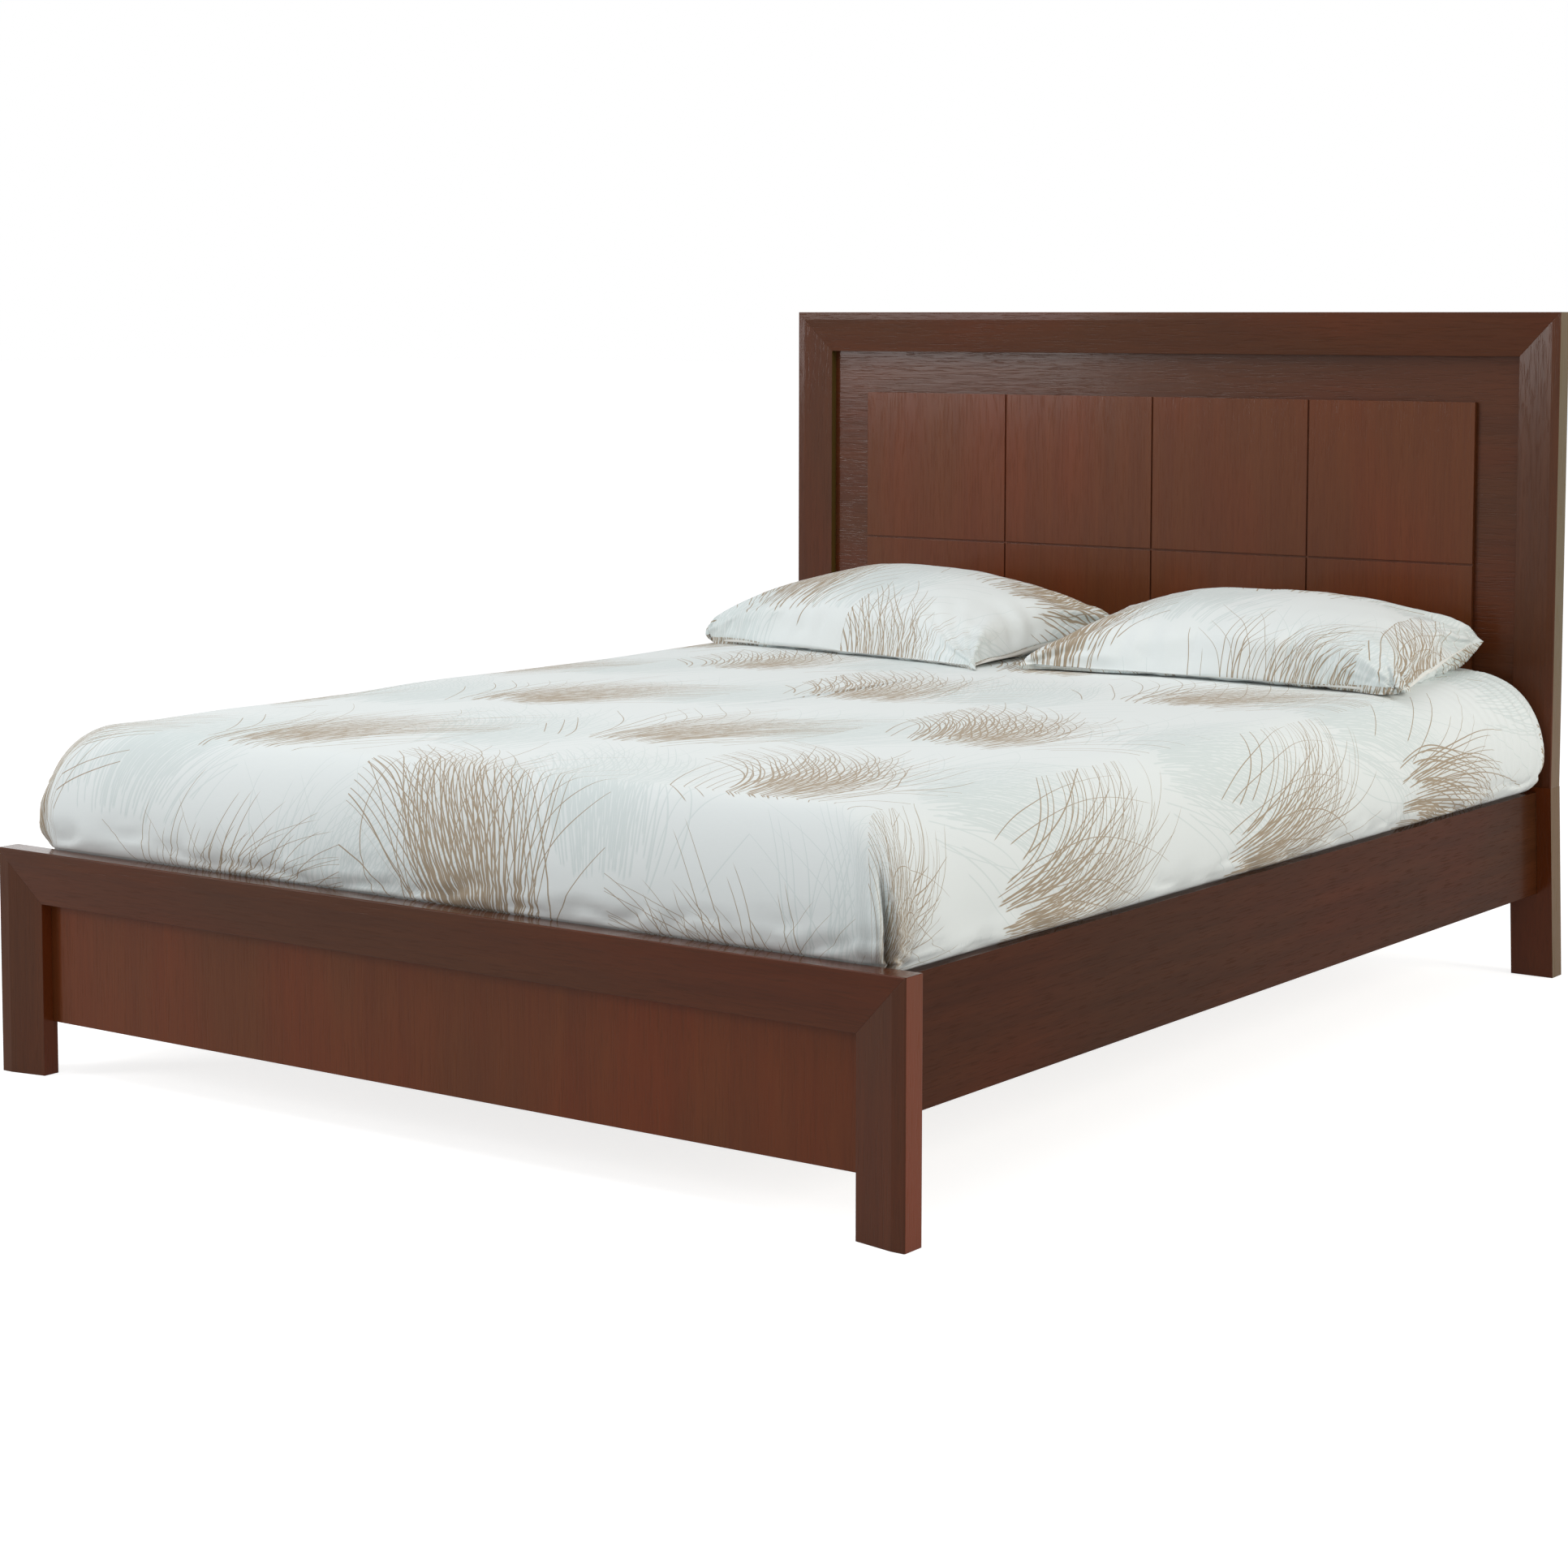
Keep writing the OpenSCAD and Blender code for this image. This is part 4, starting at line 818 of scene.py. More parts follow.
def dress_screws(node, steel):
    """Screws with cross recesses in place of a node's plain ones."""
    solids = loose_parts(node)
    axes = [screw_axis(solid) for solid in solids]
    length = min(axis[2] for axis in axes)
    reach = max(np.linalg.norm(np.cross(solid - head, up), axis=1).max()
                for solid, (head, up, _) in zip(solids, axes))
    one = new_screw("one_screw", length, reach, reach / 2)
    turns = []
    for i, (_, up, _) in enumerate(axes):
        aside = np.cross(up, (0.0, 0.0, 1.0) if abs(up[2]) < 0.9 else (0.0, 1.0, 0.0))
        aside /= np.linalg.norm(aside)
        angle = SCREW_TURN * i
        turns.append(aside * math.cos(angle) + np.cross(up, aside) * math.sin(angle))
    heads = [head for head, _, _ in axes]
    ups = [up for _, up, _ in axes]
    made = repeated(node + "_dressed", one, heads, ups, turns, steel)
    bpy.data.objects.remove(one)
    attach(made, "root")
    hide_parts(node)
    return made


def new_stitch(length, thick):
    """One stitch: a short thread that rises out of the cloth and dips back into it."""
    sides, rings = 5, 5
    vertices, faces = [], []
    for i in range(rings):
        share = i / (rings - 1)
        bow = math.sin(math.pi * share)
        r = thick / 2 * (0.35 + 0.65 * bow ** 0.5)
        lift = thick * 0.35 * bow
        for k in range(sides):
            turn = 2 * math.pi * k / sides
            vertices.append((length * (share - 0.5), r * math.cos(turn), lift + r * math.sin(turn)))
    for i in range(rings - 1):
        faces += band_faces(i * sides, (i + 1) * sides, sides)
    faces.append(tuple(range(sides)))
    faces.append(tuple((rings - 1) * sides + k for k in reversed(range(sides))))
    mesh = bpy.data.meshes.new("one_stitch")
    mesh.from_pydata(vertices, [], faces)
    return new_piece("one_stitch", mesh)


def stitched(name, paths, pitch, thick, thread):
    """Rows of stitches along paths; each path is (points, outward directions)."""
    places, ups, ways = [], [], []
    for points, normals in paths:
        gaps = np.linalg.norm(np.diff(points, axis=0), axis=1)
        travel = np.concatenate([[0.0], np.cumsum(gaps)])

        def sampled(values, stops):
            return np.column_stack([np.interp(stops, travel, values[:, k]) for k in range(3)])

        stops = np.arange(pitch / 2, travel[-1], pitch)
        up = sampled(normals, stops)
        places.append(sampled(points, stops) + up * thick * 0.1)
        ups.append(up)
        ways.append(sampled(points, stops + pitch / 4) - sampled(points, stops - pitch / 4))
    one = new_stitch(pitch * 0.72, thick)
    made = repeated(name, one, np.concatenate(places), np.concatenate(ups), np.concatenate(ways), thread)
    bpy.data.objects.remove(one)
    return made


def puff(piece, frames, pressure, grow, cap):
    """A closed piece's points once it is blown up as cloth that grows a little; none moves beyond cap."""
    mesh = piece.data
    rest = np.zeros(len(mesh.vertices) * 3, np.float32)
    mesh.vertices.foreach_get("co", rest)
    rest = rest.reshape(-1, 3)
    cloth = piece.modifiers.new("Cloth", "CLOTH")
    how = cloth.settings
    how.quality = 5
    how.mass = 0.2
    how.tension_stiffness = 12
    how.compression_stiffness = 12
    how.shear_stiffness = 4
    how.bending_stiffness = 0.3
    how.use_pressure = True
    how.uniform_pressure_force = pressure
    how.effector_weights.gravity = 0
    how.shrink_min = -grow
    cloth.collision_settings.use_collision = False
    cloth.point_cache.frame_start = 1
    cloth.point_cache.frame_end = frames
    for frame_now in range(1, frames + 1):
        bpy.context.scene.frame_set(frame_now)
    graph = bpy.context.evaluated_depsgraph_get()
    blown = np.zeros(len(mesh.vertices) * 3, np.float32)
    piece.evaluated_get(graph).data.vertices.foreach_get("co", blown)
    piece.modifiers.remove(cloth)
    bpy.context.scene.frame_set(1)
    move = blown.reshape(-1, 3) - rest
    far = np.linalg.norm(move, axis=1)[:, None]
    return rest + move * np.minimum(1.0, cap / np.maximum(far, 1e-6))


def set_points(piece, points):
    """Puts a mesh's corners at new places."""
    piece.data.vertices.foreach_set("co", np.asarray(points, dtype=np.float32).ravel())
    piece.data.update()


# Duvet

# Room between the duvet and what it touches
GAP = 0.0005
# Plan of the tucked edge
TUCK_X = RAIL_IN - GAP
TUCK_Y0 = FOOT_BACK + GAP
TUCK_Y1 = HEAD_FRONT - GAP
# Heights where the cloth comes over the rails and the footboard, is widest and reaches its shoulder
SWELL_Z = RAIL_TOP + GAP
SEAT_Z = FOOT_TOP + GAP
WIDE_Z = FOOT_TOP + 0.048
SHOULDER_Z = high("mattress").z + 0.045
# Radii of the plan's corners at the tuck, the widest level, the crown and the head
TUCK_R, WIDE_R, CROWN_R = 0.032, 0.058, 0.030
HEAD_R = 0.034
# Counts of points across, along and round a corner, and how far they crowd towards the head
DUVET_STEPS = (110, 210, 36)
GATHER = 1.8
# Rings of the outside up to the rails, the footboard, the widest level and the shoulder
SIDE_RINGS = (5, 4, 8, 20)
# Rings over the crown, and over the hollow's roof
CROWN_RINGS = 60
ROOF_RINGS = 12
# Inset and radius of the hollow's rounded upper edge
HOLLOW_EDGE = 0.012
HOLLOW_R = 0.0205
# Height of the soft lumps, large and small
LUMPS, SMALL_LUMPS = 0.004, 0.0016
# How far the cloth is drawn in over the rails near the foot
DRAWN_IN = 0.018
# Depth of the puckers at the tuck and height of their ripples
PUCKERS, PUCKER_RIPPLES = 0.075, 0.004
# Height of the folds at the head, and the distance between them
HEAD_FOLDS, HEAD_FOLD_GAP = 0.0052, 0.030
# Depth of the pinch at each foot corner, and heights of its lips towards the foot and the side
PINCH, FOOT_LIP, SIDE_LIP = 0.026, 0.009, 0.004
# Height of the creases below each pinch, and the distance between them
RAYS, RAY_GAP = 0.0034, 0.021


def duvet_plan(x, y0, y1, radius, head_radius=None):
    """One ring of the duvet's points seen from above, and their outward directions."""
    return ring_plan(x, y0, y1, radius, DUVET_STEPS, head_radius, GATHER)


def duvet_levels(bedding):
    """Levels of the duvet's outside from hem to crown: plan sizes, radius and height of each."""
    hem = low("duvet").z
    levels = []

    def side(z):
        share = swell(z, SWELL_Z, WIDE_Z)
        y0 = TUCK_Y0 - bedding.foot_swell * swell(z, SEAT_Z, WIDE_Z)
        return TUCK_X + bedding.side_swell * share, y0, TUCK_Y1, TUCK_R + (WIDE_R - TUCK_R) * share, z

    to_rail, to_seat, to_wide, to_shoulder = SIDE_RINGS
    for k in range(to_rail + 1):
        levels.append(side(hem + (SWELL_Z - hem) * k / to_rail))
    for k in range(1, to_seat + 1):
        levels.append(side(SWELL_Z + (SEAT_Z - SWELL_Z) * (k / to_seat) ** 1.5))
    for k in range(1, to_wide + 1):
        levels.append(side(SEAT_Z + (WIDE_Z - SEAT_Z) * (k / to_wide) ** 1.6))
    for k in range(1, to_shoulder + 1):
        turn = math.radians(90 * k / to_shoulder)
        inwards = 1 - math.cos(turn)
        levels.append((TUCK_X + bedding.side_swell - bedding.side_shoulder * inwards,
                       TUCK_Y0 - bedding.foot_swell + bedding.foot_shoulder * inwards,
                       TUCK_Y1 - bedding.head_shoulder * inwards,
                       WIDE_R + (CROWN_R - WIDE_R) * inwards,
                       WIDE_Z + (SHOULDER_Z - WIDE_Z) * math.sin(turn)))
    return levels


def duvet_top(bedding, x, y):
    """Height of the duvet's crown, flat under the pillows and softly domed elsewhere."""
    crown_x = TUCK_X + bedding.side_swell - bedding.side_shoulder
    y0 = TUCK_Y0 - bedding.foot_swell + bedding.foot_shoulder
    y1 = TUCK_Y1 - bedding.head_shoulder
    across = np.clip(np.abs(x) / crown_x, 0, 1)
    along = np.clip(np.abs(2 * y - y0 - y1) / (y1 - y0), 0, 1)
    return SHOULDER_Z + bedding.crown * (1 - across ** 2.6) * (1 - along ** 5)


def duvet_outside(bedding):
    """The duvet's smooth outside as rings from hem to middle.

    It gives each ring's points, outward directions, distances from the crown along the cloth and map."""
    levels = duvet_levels(bedding)
    plans = [duvet_plan(x, y0, y1, r, min(r, HEAD_R)) for x, y0, y1, r, _ in levels]
    top_plan, top_ways = plans[-1]
    count = len(top_plan)
    rings, depths = [], []
    travelled = np.zeros(count)
    for (plan, _), level in zip(reversed(plans), reversed(levels)):
        points = np.column_stack([plan, np.full(count, level[4])])
        if rings:
            travelled = travelled + np.linalg.norm(points - rings[-1], axis=1)
        rings.append(points)
        depths.append(travelled)
    rings.reverse()
    depths.reverse()
    ways = [way for _, way in plans]
    maps = [top_plan + top_ways * depth[:, None] for depth in depths]
    crown_x, crown_y0, crown_y1, crown_r, _ = levels[-1]
    for k in range(1, CROWN_RINGS + 1):
        shrink = (crown_x - 0.004) * k / CROWN_RINGS
        radius = max(0.003, crown_r - shrink)
        plan, way = duvet_plan(crown_x - shrink, crown_y0 + shrink, crown_y1 - shrink, radius)
        rings.append(np.column_stack([plan, duvet_top(bedding, plan[:, 0], plan[:, 1])]))
        depths.append(np.full(count, -shrink))
        ways.append(way)
        maps.append(plan)
    return rings, ways, depths, maps


def duvet_folds(points, ways, depth):
    """How far the cloth stands out from its smooth form: lumps, puckers, folds and the corners' pinches."""
    x, y, z = points.T
    hang = smooth_step(-0.03, 0.07, depth)
    out = noise_at(points, 2.6, 1) * LUMPS + noise_at(points, 6.5, 2) * SMALL_LUMPS
    # The cloth is drawn tighter over the rails towards the foot
    aside = np.abs(ways[:, 0]) * smooth_step(SWELL_Z, WIDE_Z, z)
    from_foot = y - TUCK_Y0
    aside *= smooth_step(0.06, 0.20, from_foot) * smooth_step(1.0, 0.15, from_foot)
    out -= DRAWN_IN * aside * smooth_step(-0.02, 0.06, depth)
    # Puckers where the cloth is tucked behind the rails and the footboard
    over_foot = (ways[:, 1] < -0.7) & (y < TUCK_Y0 + 0.03)
    seat = np.where(over_foot, SEAT_Z, SWELL_Z)
    near_seat = smooth_step(0.075, 0.0, z - seat) * hang
    run = np.where(np.abs(ways[:, 0]) > np.abs(ways[:, 1]), y, x)
    along = np.stack([run, (z - seat) * 2.5, np.sign(ways[:, 0]) * 2 + np.sign(ways[:, 1])], axis=1)
    dips = np.maximum(0, 0.28 - np.abs(noise_at(along, 9.0, 3))) ** 1.5
    out -= dips * PUCKERS * near_seat
    out += noise_at(along, 34.0, 4) * PUCKER_RIPPLES * near_seat
    # Folds that run over the shoulder at the head, close together and bowed
    head_run = HEAD_FRONT - y + 0.05 * np.sin(np.clip(depth, -0.15, 0.25) * 9)
    rows = head_run / HEAD_FOLD_GAP + noise_at(points * (1, 1, 0.4), 4.0, 5) * 1.1
    creases = 1 - 2 * np.abs(np.mod(rows, 1.0) - 0.5)
    near_head = smooth_step(0.50, 0.03, head_run) * smooth_step(-0.17, 0.03, depth)
    out += creases ** 1.6 * HEAD_FOLDS * near_head
    # The pinch at each foot corner, its lips and the creases below it
    turn = np.degrees(np.arctan2(ways[:, 1], np.abs(ways[:, 0])))
    at_corner = (np.abs(x) > TUCK_X - 0.12) & (y < TUCK_Y0 + 0.12)
    pinch = np.where(at_corner, smooth_step(SEAT_Z + 0.135, SEAT_Z + 0.05, z), 0.0)
    wander = turn + 44 + (z - SEAT_Z) * 60 + noise_at(points, 9.0, 6) * 3
    out -= pinch * PINCH * np.exp(-(wander / 4.2) ** 2)
    out += pinch * FOOT_LIP * np.exp(-((wander + 13) / 8.0) ** 2)
    out += pinch * SIDE_LIP * np.exp(-((wander - 15) / 9.0) ** 2)
    rays = np.sin((z - SEAT_Z) * 2 * np.pi / RAY_GAP + wander * 0.14 + noise_at(points, 14.0, 7) * 2)
    out += rays * RAYS * pinch * smooth_step(2.0, 14.0, wander) * smooth_step(80.0, 22.0, wander)
    return out


def duvet_folded(points, ways, depth):
    """The outside's points moved by its folds, which fade out where the cloth is tucked in."""
    tucked = smooth_step(SWELL_Z - 0.004, SWELL_Z + 0.016, points[:, 2])
    foot_side = (ways[:, 1] < -0.7) & (points[:, 1] < TUCK_Y0 + 0.02)
    tucked = np.where(foot_side, smooth_step(SEAT_Z - 0.002, SEAT_Z + 0.02, points[:, 2]), tucked)
    out = duvet_folds(points, ways, depth) * tucked
    down = smooth_step(-0.02, 0.05, depth)
    normal = np.column_stack([ways * down[:, None], 1 - 0.75 * down])
    normal /= np.linalg.norm(normal, axis=1)[:, None]
    points = points + normal * out[:, None]
    points[:, 1] = np.minimum(points[:, 1], TUCK_Y1)
    return points


def duvet_hollow():
    """The hollow over the mattress as rings from hem to middle: their points and cloth maps."""
    x = high("mattress").x + GAP
    y0, y1 = low("mattress").y - GAP, high("mattress").y + GAP
    hem, roof = low("duvet").z, high("mattress").z + GAP
    levels = [(inset, z, HOLLOW_R - inset * 0.5) for inset, z in (
        (0.0, hem), (0.0, hem + 0.08), (0.0, hem + 0.16), (0.0, roof - HOLLOW_EDGE), (0.004, roof - 0.003),
        (HOLLOW_EDGE, roof))]
    for k in range(1, ROOF_RINGS + 1):
        shrink = (x - HOLLOW_EDGE) * k / (ROOF_RINGS + 0.6)
        levels.append((HOLLOW_EDGE + shrink, roof, 0.006))
    rings, maps = [], []
    for inset, z, radius in levels:
        plan, way = duvet_plan(x - inset, y0 + inset, y1 - inset, radius)
        rings.append(np.column_stack([plan, np.full(len(plan), z)]))
        maps.append(plan + way * (roof - z))
    return rings, maps


def make_duvet(bedding, material):
    """The duvet's outside and its hollow over the mattress, with a cloth map in metres."""
    outside, ways, depths, maps = duvet_outside(bedding)
    hollow, hollow_maps = duvet_hollow()
    folded = duvet_folded(np.concatenate(outside), np.concatenate(ways), np.concatenate(depths))
    points = np.concatenate([folded] + hollow)
    maps = np.concatenate(maps + hollow_maps)
    count = len(outside[0])
    start = len(folded)
    faces = cup_faces(len(outside), count)
    faces += band_faces(start, 0, count)
    for ring in range(start, len(points) - count, count):
        faces += band_faces(ring + count, ring, count)
    faces.append(tuple(range(len(points) - 1, len(points) - 1 - count, -1)))
    corners = [maps[i] for face in faces for i in face]
    return new_object("duvet_dressed", points, faces, material, corners)


# Pillows

# Turns of the left and the right pillow in degrees
LEFT_TURN, RIGHT_TURN = -13, 7
# The pair's middle across the bed, the room between the two, the distance from the headboard and how far
# the right one lies nearer to it than their middle
PAIR_X, PAIR_ROOM = 0.020, 0.024
FROM_HEAD, STAGGER = 0.303, 0.011
# Cells of the pillowcase's and the filling's grid, and the row of cells where a case's hem is stitched
CASE_CELLS, FILLING_CELLS = (150, 104), (60, 42)
HEM_ROW = 11
# Thickness of the sewing thread
THREAD = 0.0008
# How far the outer back corner and the outer front corner are rounded in, across and back
BACK_CORNER = 0.02
FRONT_CORNER, FRONT_CORNER_BACK = 0.030, 0.024
# Height of the seam above the duvet's shoulder at the front, its rise to the back, and the rise of its
# back corners
SEAM_HEIGHT, SEAM_RISE, EAR = 0.005, 0.042, 0.014
HEM_WAVE = 0.007
# How far the case hangs below its seam, and the difference between the two pillows' crowns
UNDER = 0.066
CROWN_CHANGE = 0.007
CRUMPLE, SMALL_CRUMPLE = 0.005, 0.0018
# Share of the crown that the case has before it is blown up
SLACK = 0.93
# Least room between a pillow's two panels, before and after it is blown up
PANEL_ROOM, BLOWN_ROOM = 0.0008, 0.0006
# Shift of the print on a pillow's lower panel
UNDER_PRINT = 1.3
# Height of the puckers along the seam and of the folds from the corners
SEAM_PUCKERS, CORNER_FOLDS = 0.0065, 0.011
# Room between pillow and duvet, and between pillow and headboard
PILLOW_ROOM, HEAD_ROOM = 0.0012, 0.002


def crowded(cells, share):
    """Places from -1 to 1 that lie closer together towards both ends."""
    even = np.linspace(-1, 1, cells + 1)
    return np.sin(even * math.pi * share) / math.sin(math.pi * share)


def end_fill(u):
    """Fullness towards a pillow's end; positive is the outer end."""
    outwards = np.clip(u, 0, 1)
    inwards = np.clip(-u, 0, 1)
    return np.where(u > 0, (1 - outwards ** 2.8) ** 0.9, (1 - inwards ** 3) ** 0.8)


def pillow_plan(bedding, side, inset, cells):
    """A pillow's grid from above, before its turn: shares u and v from -1 to 1, and x and y in metres."""
    u, v = np.meshgrid(crowded(cells[0], 0.47), crowded(cells[1], 0.46), indexing="ij")
    x = (bedding.pillow_width / 2 - inset) * u * (0.935 + 0.035 * np.abs(v) ** 3)
    y = (bedding.pillow_depth / 2 - inset) * v * (0.925 + 0.045 * np.abs(u) ** 3)
    outer, inner = np.clip(side * u, 0, 1), np.clip(-side * u, 0, 1)
    inner_front = inner ** 3 * ((1 - v) / 2) ** 2
    outer_back = outer ** 3 * ((1 + v) / 2) ** 2
    outer_front = outer ** 7 * np.clip(-v, 0, 1) ** 7
    reach = bedding.corner_right if side > 0 else bedding.corner_left
    x -= side * (reach * inner_front + BACK_CORNER * outer_back)
    x -= side * FRONT_CORNER * outer_front
    y += FRONT_CORNER_BACK * outer_front
    return u, v, x, y


def pillow_place(bedding, side, x, y):
    """Points of a pillow's plan, turned and moved to where it lies."""
    turn = math.radians(RIGHT_TURN if side > 0 else LEFT_TURN)
    middle = Vector((PAIR_X + side * (bedding.pillow_width / 2 + PAIR_ROOM / 2),
                     HEAD_FRONT - FROM_HEAD + side * STAGGER, 0))
    return (middle.x + x * math.cos(turn) - y * math.sin(turn),
            middle.y + x * math.sin(turn) + y * math.cos(turn))


def pillow_heights(bedding, side, inset, plan, rest):
    """Heights of a pillow's upper and lower panel over its grid; rest is the height it lies on."""
    u, v, x, y = plan
    level = np.full_like(x, side)
    ear = np.where(y > 0, EAR * (np.abs(u) * np.abs(v)) ** 5, 0)
    near_edge = smooth_step(0.6, 1.0, np.maximum(np.abs(u), np.abs(v)))
    hem_wave = HEM_WAVE * noise_over(x, y, level * 2.0, 11.0, 24) * near_edge
    seam = SHOULDER_Z + SEAM_HEIGHT + SEAM_RISE * (y / bedding.pillow_depth + 0.5) + ear + hem_wave
    fill = end_fill(side * u) * (1 - np.abs(v) ** 2.4) ** 0.6
    crumple = noise_over(x, y, level, 8.0, 7) * CRUMPLE + noise_over(x, y, level, 20.0, 8) * SMALL_CRUMPLE
    crown = (bedding.pillow_height - side * CROWN_CHANGE - inset) * fill
    full = 1.0 if inset else SLACK
    top = np.maximum(seam + full * crown + crumple * smooth_step(0.0, 0.3, fill), rest)
    under = np.maximum(seam - (UNDER - inset) * fill + crumple * 0.5, rest)
    return top, np.minimum(under, top - PANEL_ROOM)


def pillow_puckers(bedding, side, plan):
    """How far a case stands out from its filled form: puckers along the seam and folds from the corners."""
    u, v, x, y = plan
    end_gap = (1 - np.abs(u)) * bedding.pillow_width / 2
    edge_gap = (1 - np.abs(v)) * bedding.pillow_depth / 2
    gap = np.minimum(end_gap, edge_gap)
    level = np.full_like(x, side)
    from_edge = noise_over(x, y * 0.18, level + np.sign(v) * 0.3, 30.0, 21)
    from_end = noise_over(x * 0.18, y, level + np.sign(u) * 0.3, 30.0, 22)
    mix = smooth_step(-0.04, 0.04, end_gap - edge_gap)
    puckers = (from_end * (1 - mix) + from_edge * mix) * smooth_step(0.11, 0.02, gap)
    reach = np.hypot(end_gap, edge_gap)
    way = np.arctan2(edge_gap, end_gap)
    corner = np.sign(u) + 2 * np.sign(v)
    folds = noise_over(way * 3.2 + 0.2 * corner, reach * 0.8, level * 0.5 + corner, 1.9, 23)
    folds *= smooth_step(0.27, 0.09, reach) * smooth_step(0.0, 0.07, reach)
    return (puckers * SEAM_PUCKERS + folds * CORNER_FOLDS) * smooth_step(0.0, 0.014, gap)


def fill_case(bedding, made, puckers, upper):
    """Blows a case up, adds its puckers, and keeps it off the duvet and the headboard."""
    blown = puff(made, frames=20, pressure=4.0, grow=0.03, cap=0.018)
    set_points(made, blown)
    normals = np.array([vertex.normal for vertex in made.data.vertices])
    blown = blown + normals * puckers[:, None]
    floor = duvet_top(bedding, blown[:, 0], blown[:, 1]) + PILLOW_ROOM
    blown[:, 2] = np.maximum(blown[:, 2], floor)
    blown[upper, 2] = np.maximum(blown[upper, 2], floor[upper] + BLOWN_ROOM)
    blown[:, 1] = np.minimum(blown[:, 1], HEAD_FRONT - HEAD_ROOM)
    set_points(made, blown)


def make_pillow(bedding, side, material, inset=0.0, name="pillowcase"):
    """A pillow of two panels sewn round their edge, crowned and resting on the duvet; also its grid."""
    cells = FILLING_CELLS if inset else CASE_CELLS
    plan = pillow_plan(bedding, side, inset, cells)
    u, v, px, py = plan
    x, y = pillow_place(bedding, side, px, py)
    rest = duvet_top(bedding, x, y) + PILLOW_ROOM + inset * 0.3
    top, under = pillow_heights(bedding, side, inset, plan, rest)
    inside = np.maximum(np.abs(u), np.abs(v)) <= 0.9999
    grid_top = np.arange(u.size).reshape(u.shape)
    grid_under = grid_top.copy()
    grid_under[inside] = u.size + np.arange(np.count_nonzero(inside))
    points = np.concatenate([np.stack([x, y, top], axis=-1).reshape(-1, 3),
                             np.stack([x, y, under], axis=-1)[inside]])
    faces, corners = [], []
    for i in range(cells[0]):
        for j in range(cells[1]):
            cell = ((i, j), (i + 1, j), (i + 1, j + 1), (i, j + 1))
            faces.append(tuple(grid_top[c] for c in cell))
            corners += [(px[c], py[c]) for c in cell]
            faces.append(tuple(grid_under[c] for c in reversed(cell)))
            corners += [(px[c] + UNDER_PRINT, -py[c]) for c in reversed(cell)]
    word = "right" if side > 0 else "left"
    made = new_object("%s_%s_dressed" % (name, word), points, faces, material, corners)
    if not inset:
        puckers = pillow_puckers(bedding, side, plan)
        fill_case(bedding, made, np.concatenate([puckers.ravel(), puckers[inside]]), grid_top.ravel())
    return made, grid_top, grid_under


def hem_paths(piece, grids, row):
    """Paths across a pillow's panels at one row of its grid, with the cloth's outward directions."""
    points = np.array([vertex.co for vertex in piece.data.vertices])
    normals = np.array([vertex.normal for vertex in piece.data.vertices])
    return [(points[grid[row, 2:-2]], normals[grid[row, 2:-2]]) for grid in grids]


# Mattress

MATTRESS_STEPS = (84, 112, 10)
MATTRESS_R = 0.02
# Height between the edges and the outer rows of stitching on the side
SEWN = 0.012
# Bands between the rows of stitching on the side, steps in each, inset of the rows and swell of the bands
BANDS, BAND_STEPS, BAND_INSET, BAND_SWELL = 3, 8, 0.005, 0.003
# Rings over the quilted top, distance between its rows of stitching, and its height
QUILT_RINGS, QUILT_ROWS, QUILT_HEIGHT = 44, 0.19, 0.007
# Radius of the edge tapes, points round them and height of their middles from the edges
TAPE_R, TAPE_SIDES, TAPE_Z = 0.0050, 10, 0.0055


def quilted(x, y):
    """Share of the quilting's height, which is 0 on its slanting rows of stitching."""
    rising = (x + y) / QUILT_ROWS
    falling = (x - y) / QUILT_ROWS
    nearest = np.minimum(np.abs(rising - np.round(rising)), np.abs(falling - np.round(falling)))
    return np.sqrt(nearest * 2)


def mattress_ring(inset, radius=MATTRESS_R):
    """A ring round the mattress seen from above, with its middle at the origin; also outward directions."""
    half = (high("mattress") - low("mattress")) / 2
    return ring_plan(half.x - inset, -half.y + inset, half.y - inset, radius, MATTRESS_STEPS)


def mattress_side(bottom, top):
    """Insets and heights of the side's rings, from the lower edge to the upper one."""
    profile = [(BAND_INSET, bottom + 0.010)]
    steps = BANDS * BAND_STEPS
    for k in range(steps + 1):
        swelling = BAND_SWELL * abs(math.sin(math.pi * BANDS * k / steps)) ** 0.6
        profile.append((BAND_INSET - swelling, bottom + SEWN + (top - bottom - 2 * SEWN) * k / steps))
    return profile + [(BAND_INSET, top - 0.010), (0.008, top - 0.004), (0.016, top - 0.002)]


def make_tape(name, z, middle_y, material):
    """A round tape sewn along one of the mattress's edges."""
    plan, ways = mattress_ring(TAPE_R, 0.018)
    count = len(plan)
    points, faces = [], []
    for (x, y), (way_x, way_y) in zip(plan, ways):
        for k in range(TAPE_SIDES):
            turn = 2 * math.pi * k / TAPE_SIDES
            out = TAPE_R * math.cos(turn)
            points.append((x + way_x * out, y + middle_y + way_y * out, z + TAPE_R * math.sin(turn)))
    for j in range(count):
        ring, following = j * TAPE_SIDES, (j + 1) % count * TAPE_SIDES
        for k in range(TAPE_SIDES):
            n = (k + 1) % TAPE_SIDES
            faces.append((ring + k, following + k, following + n, ring + n))
    return new_object(name, points, faces, material)


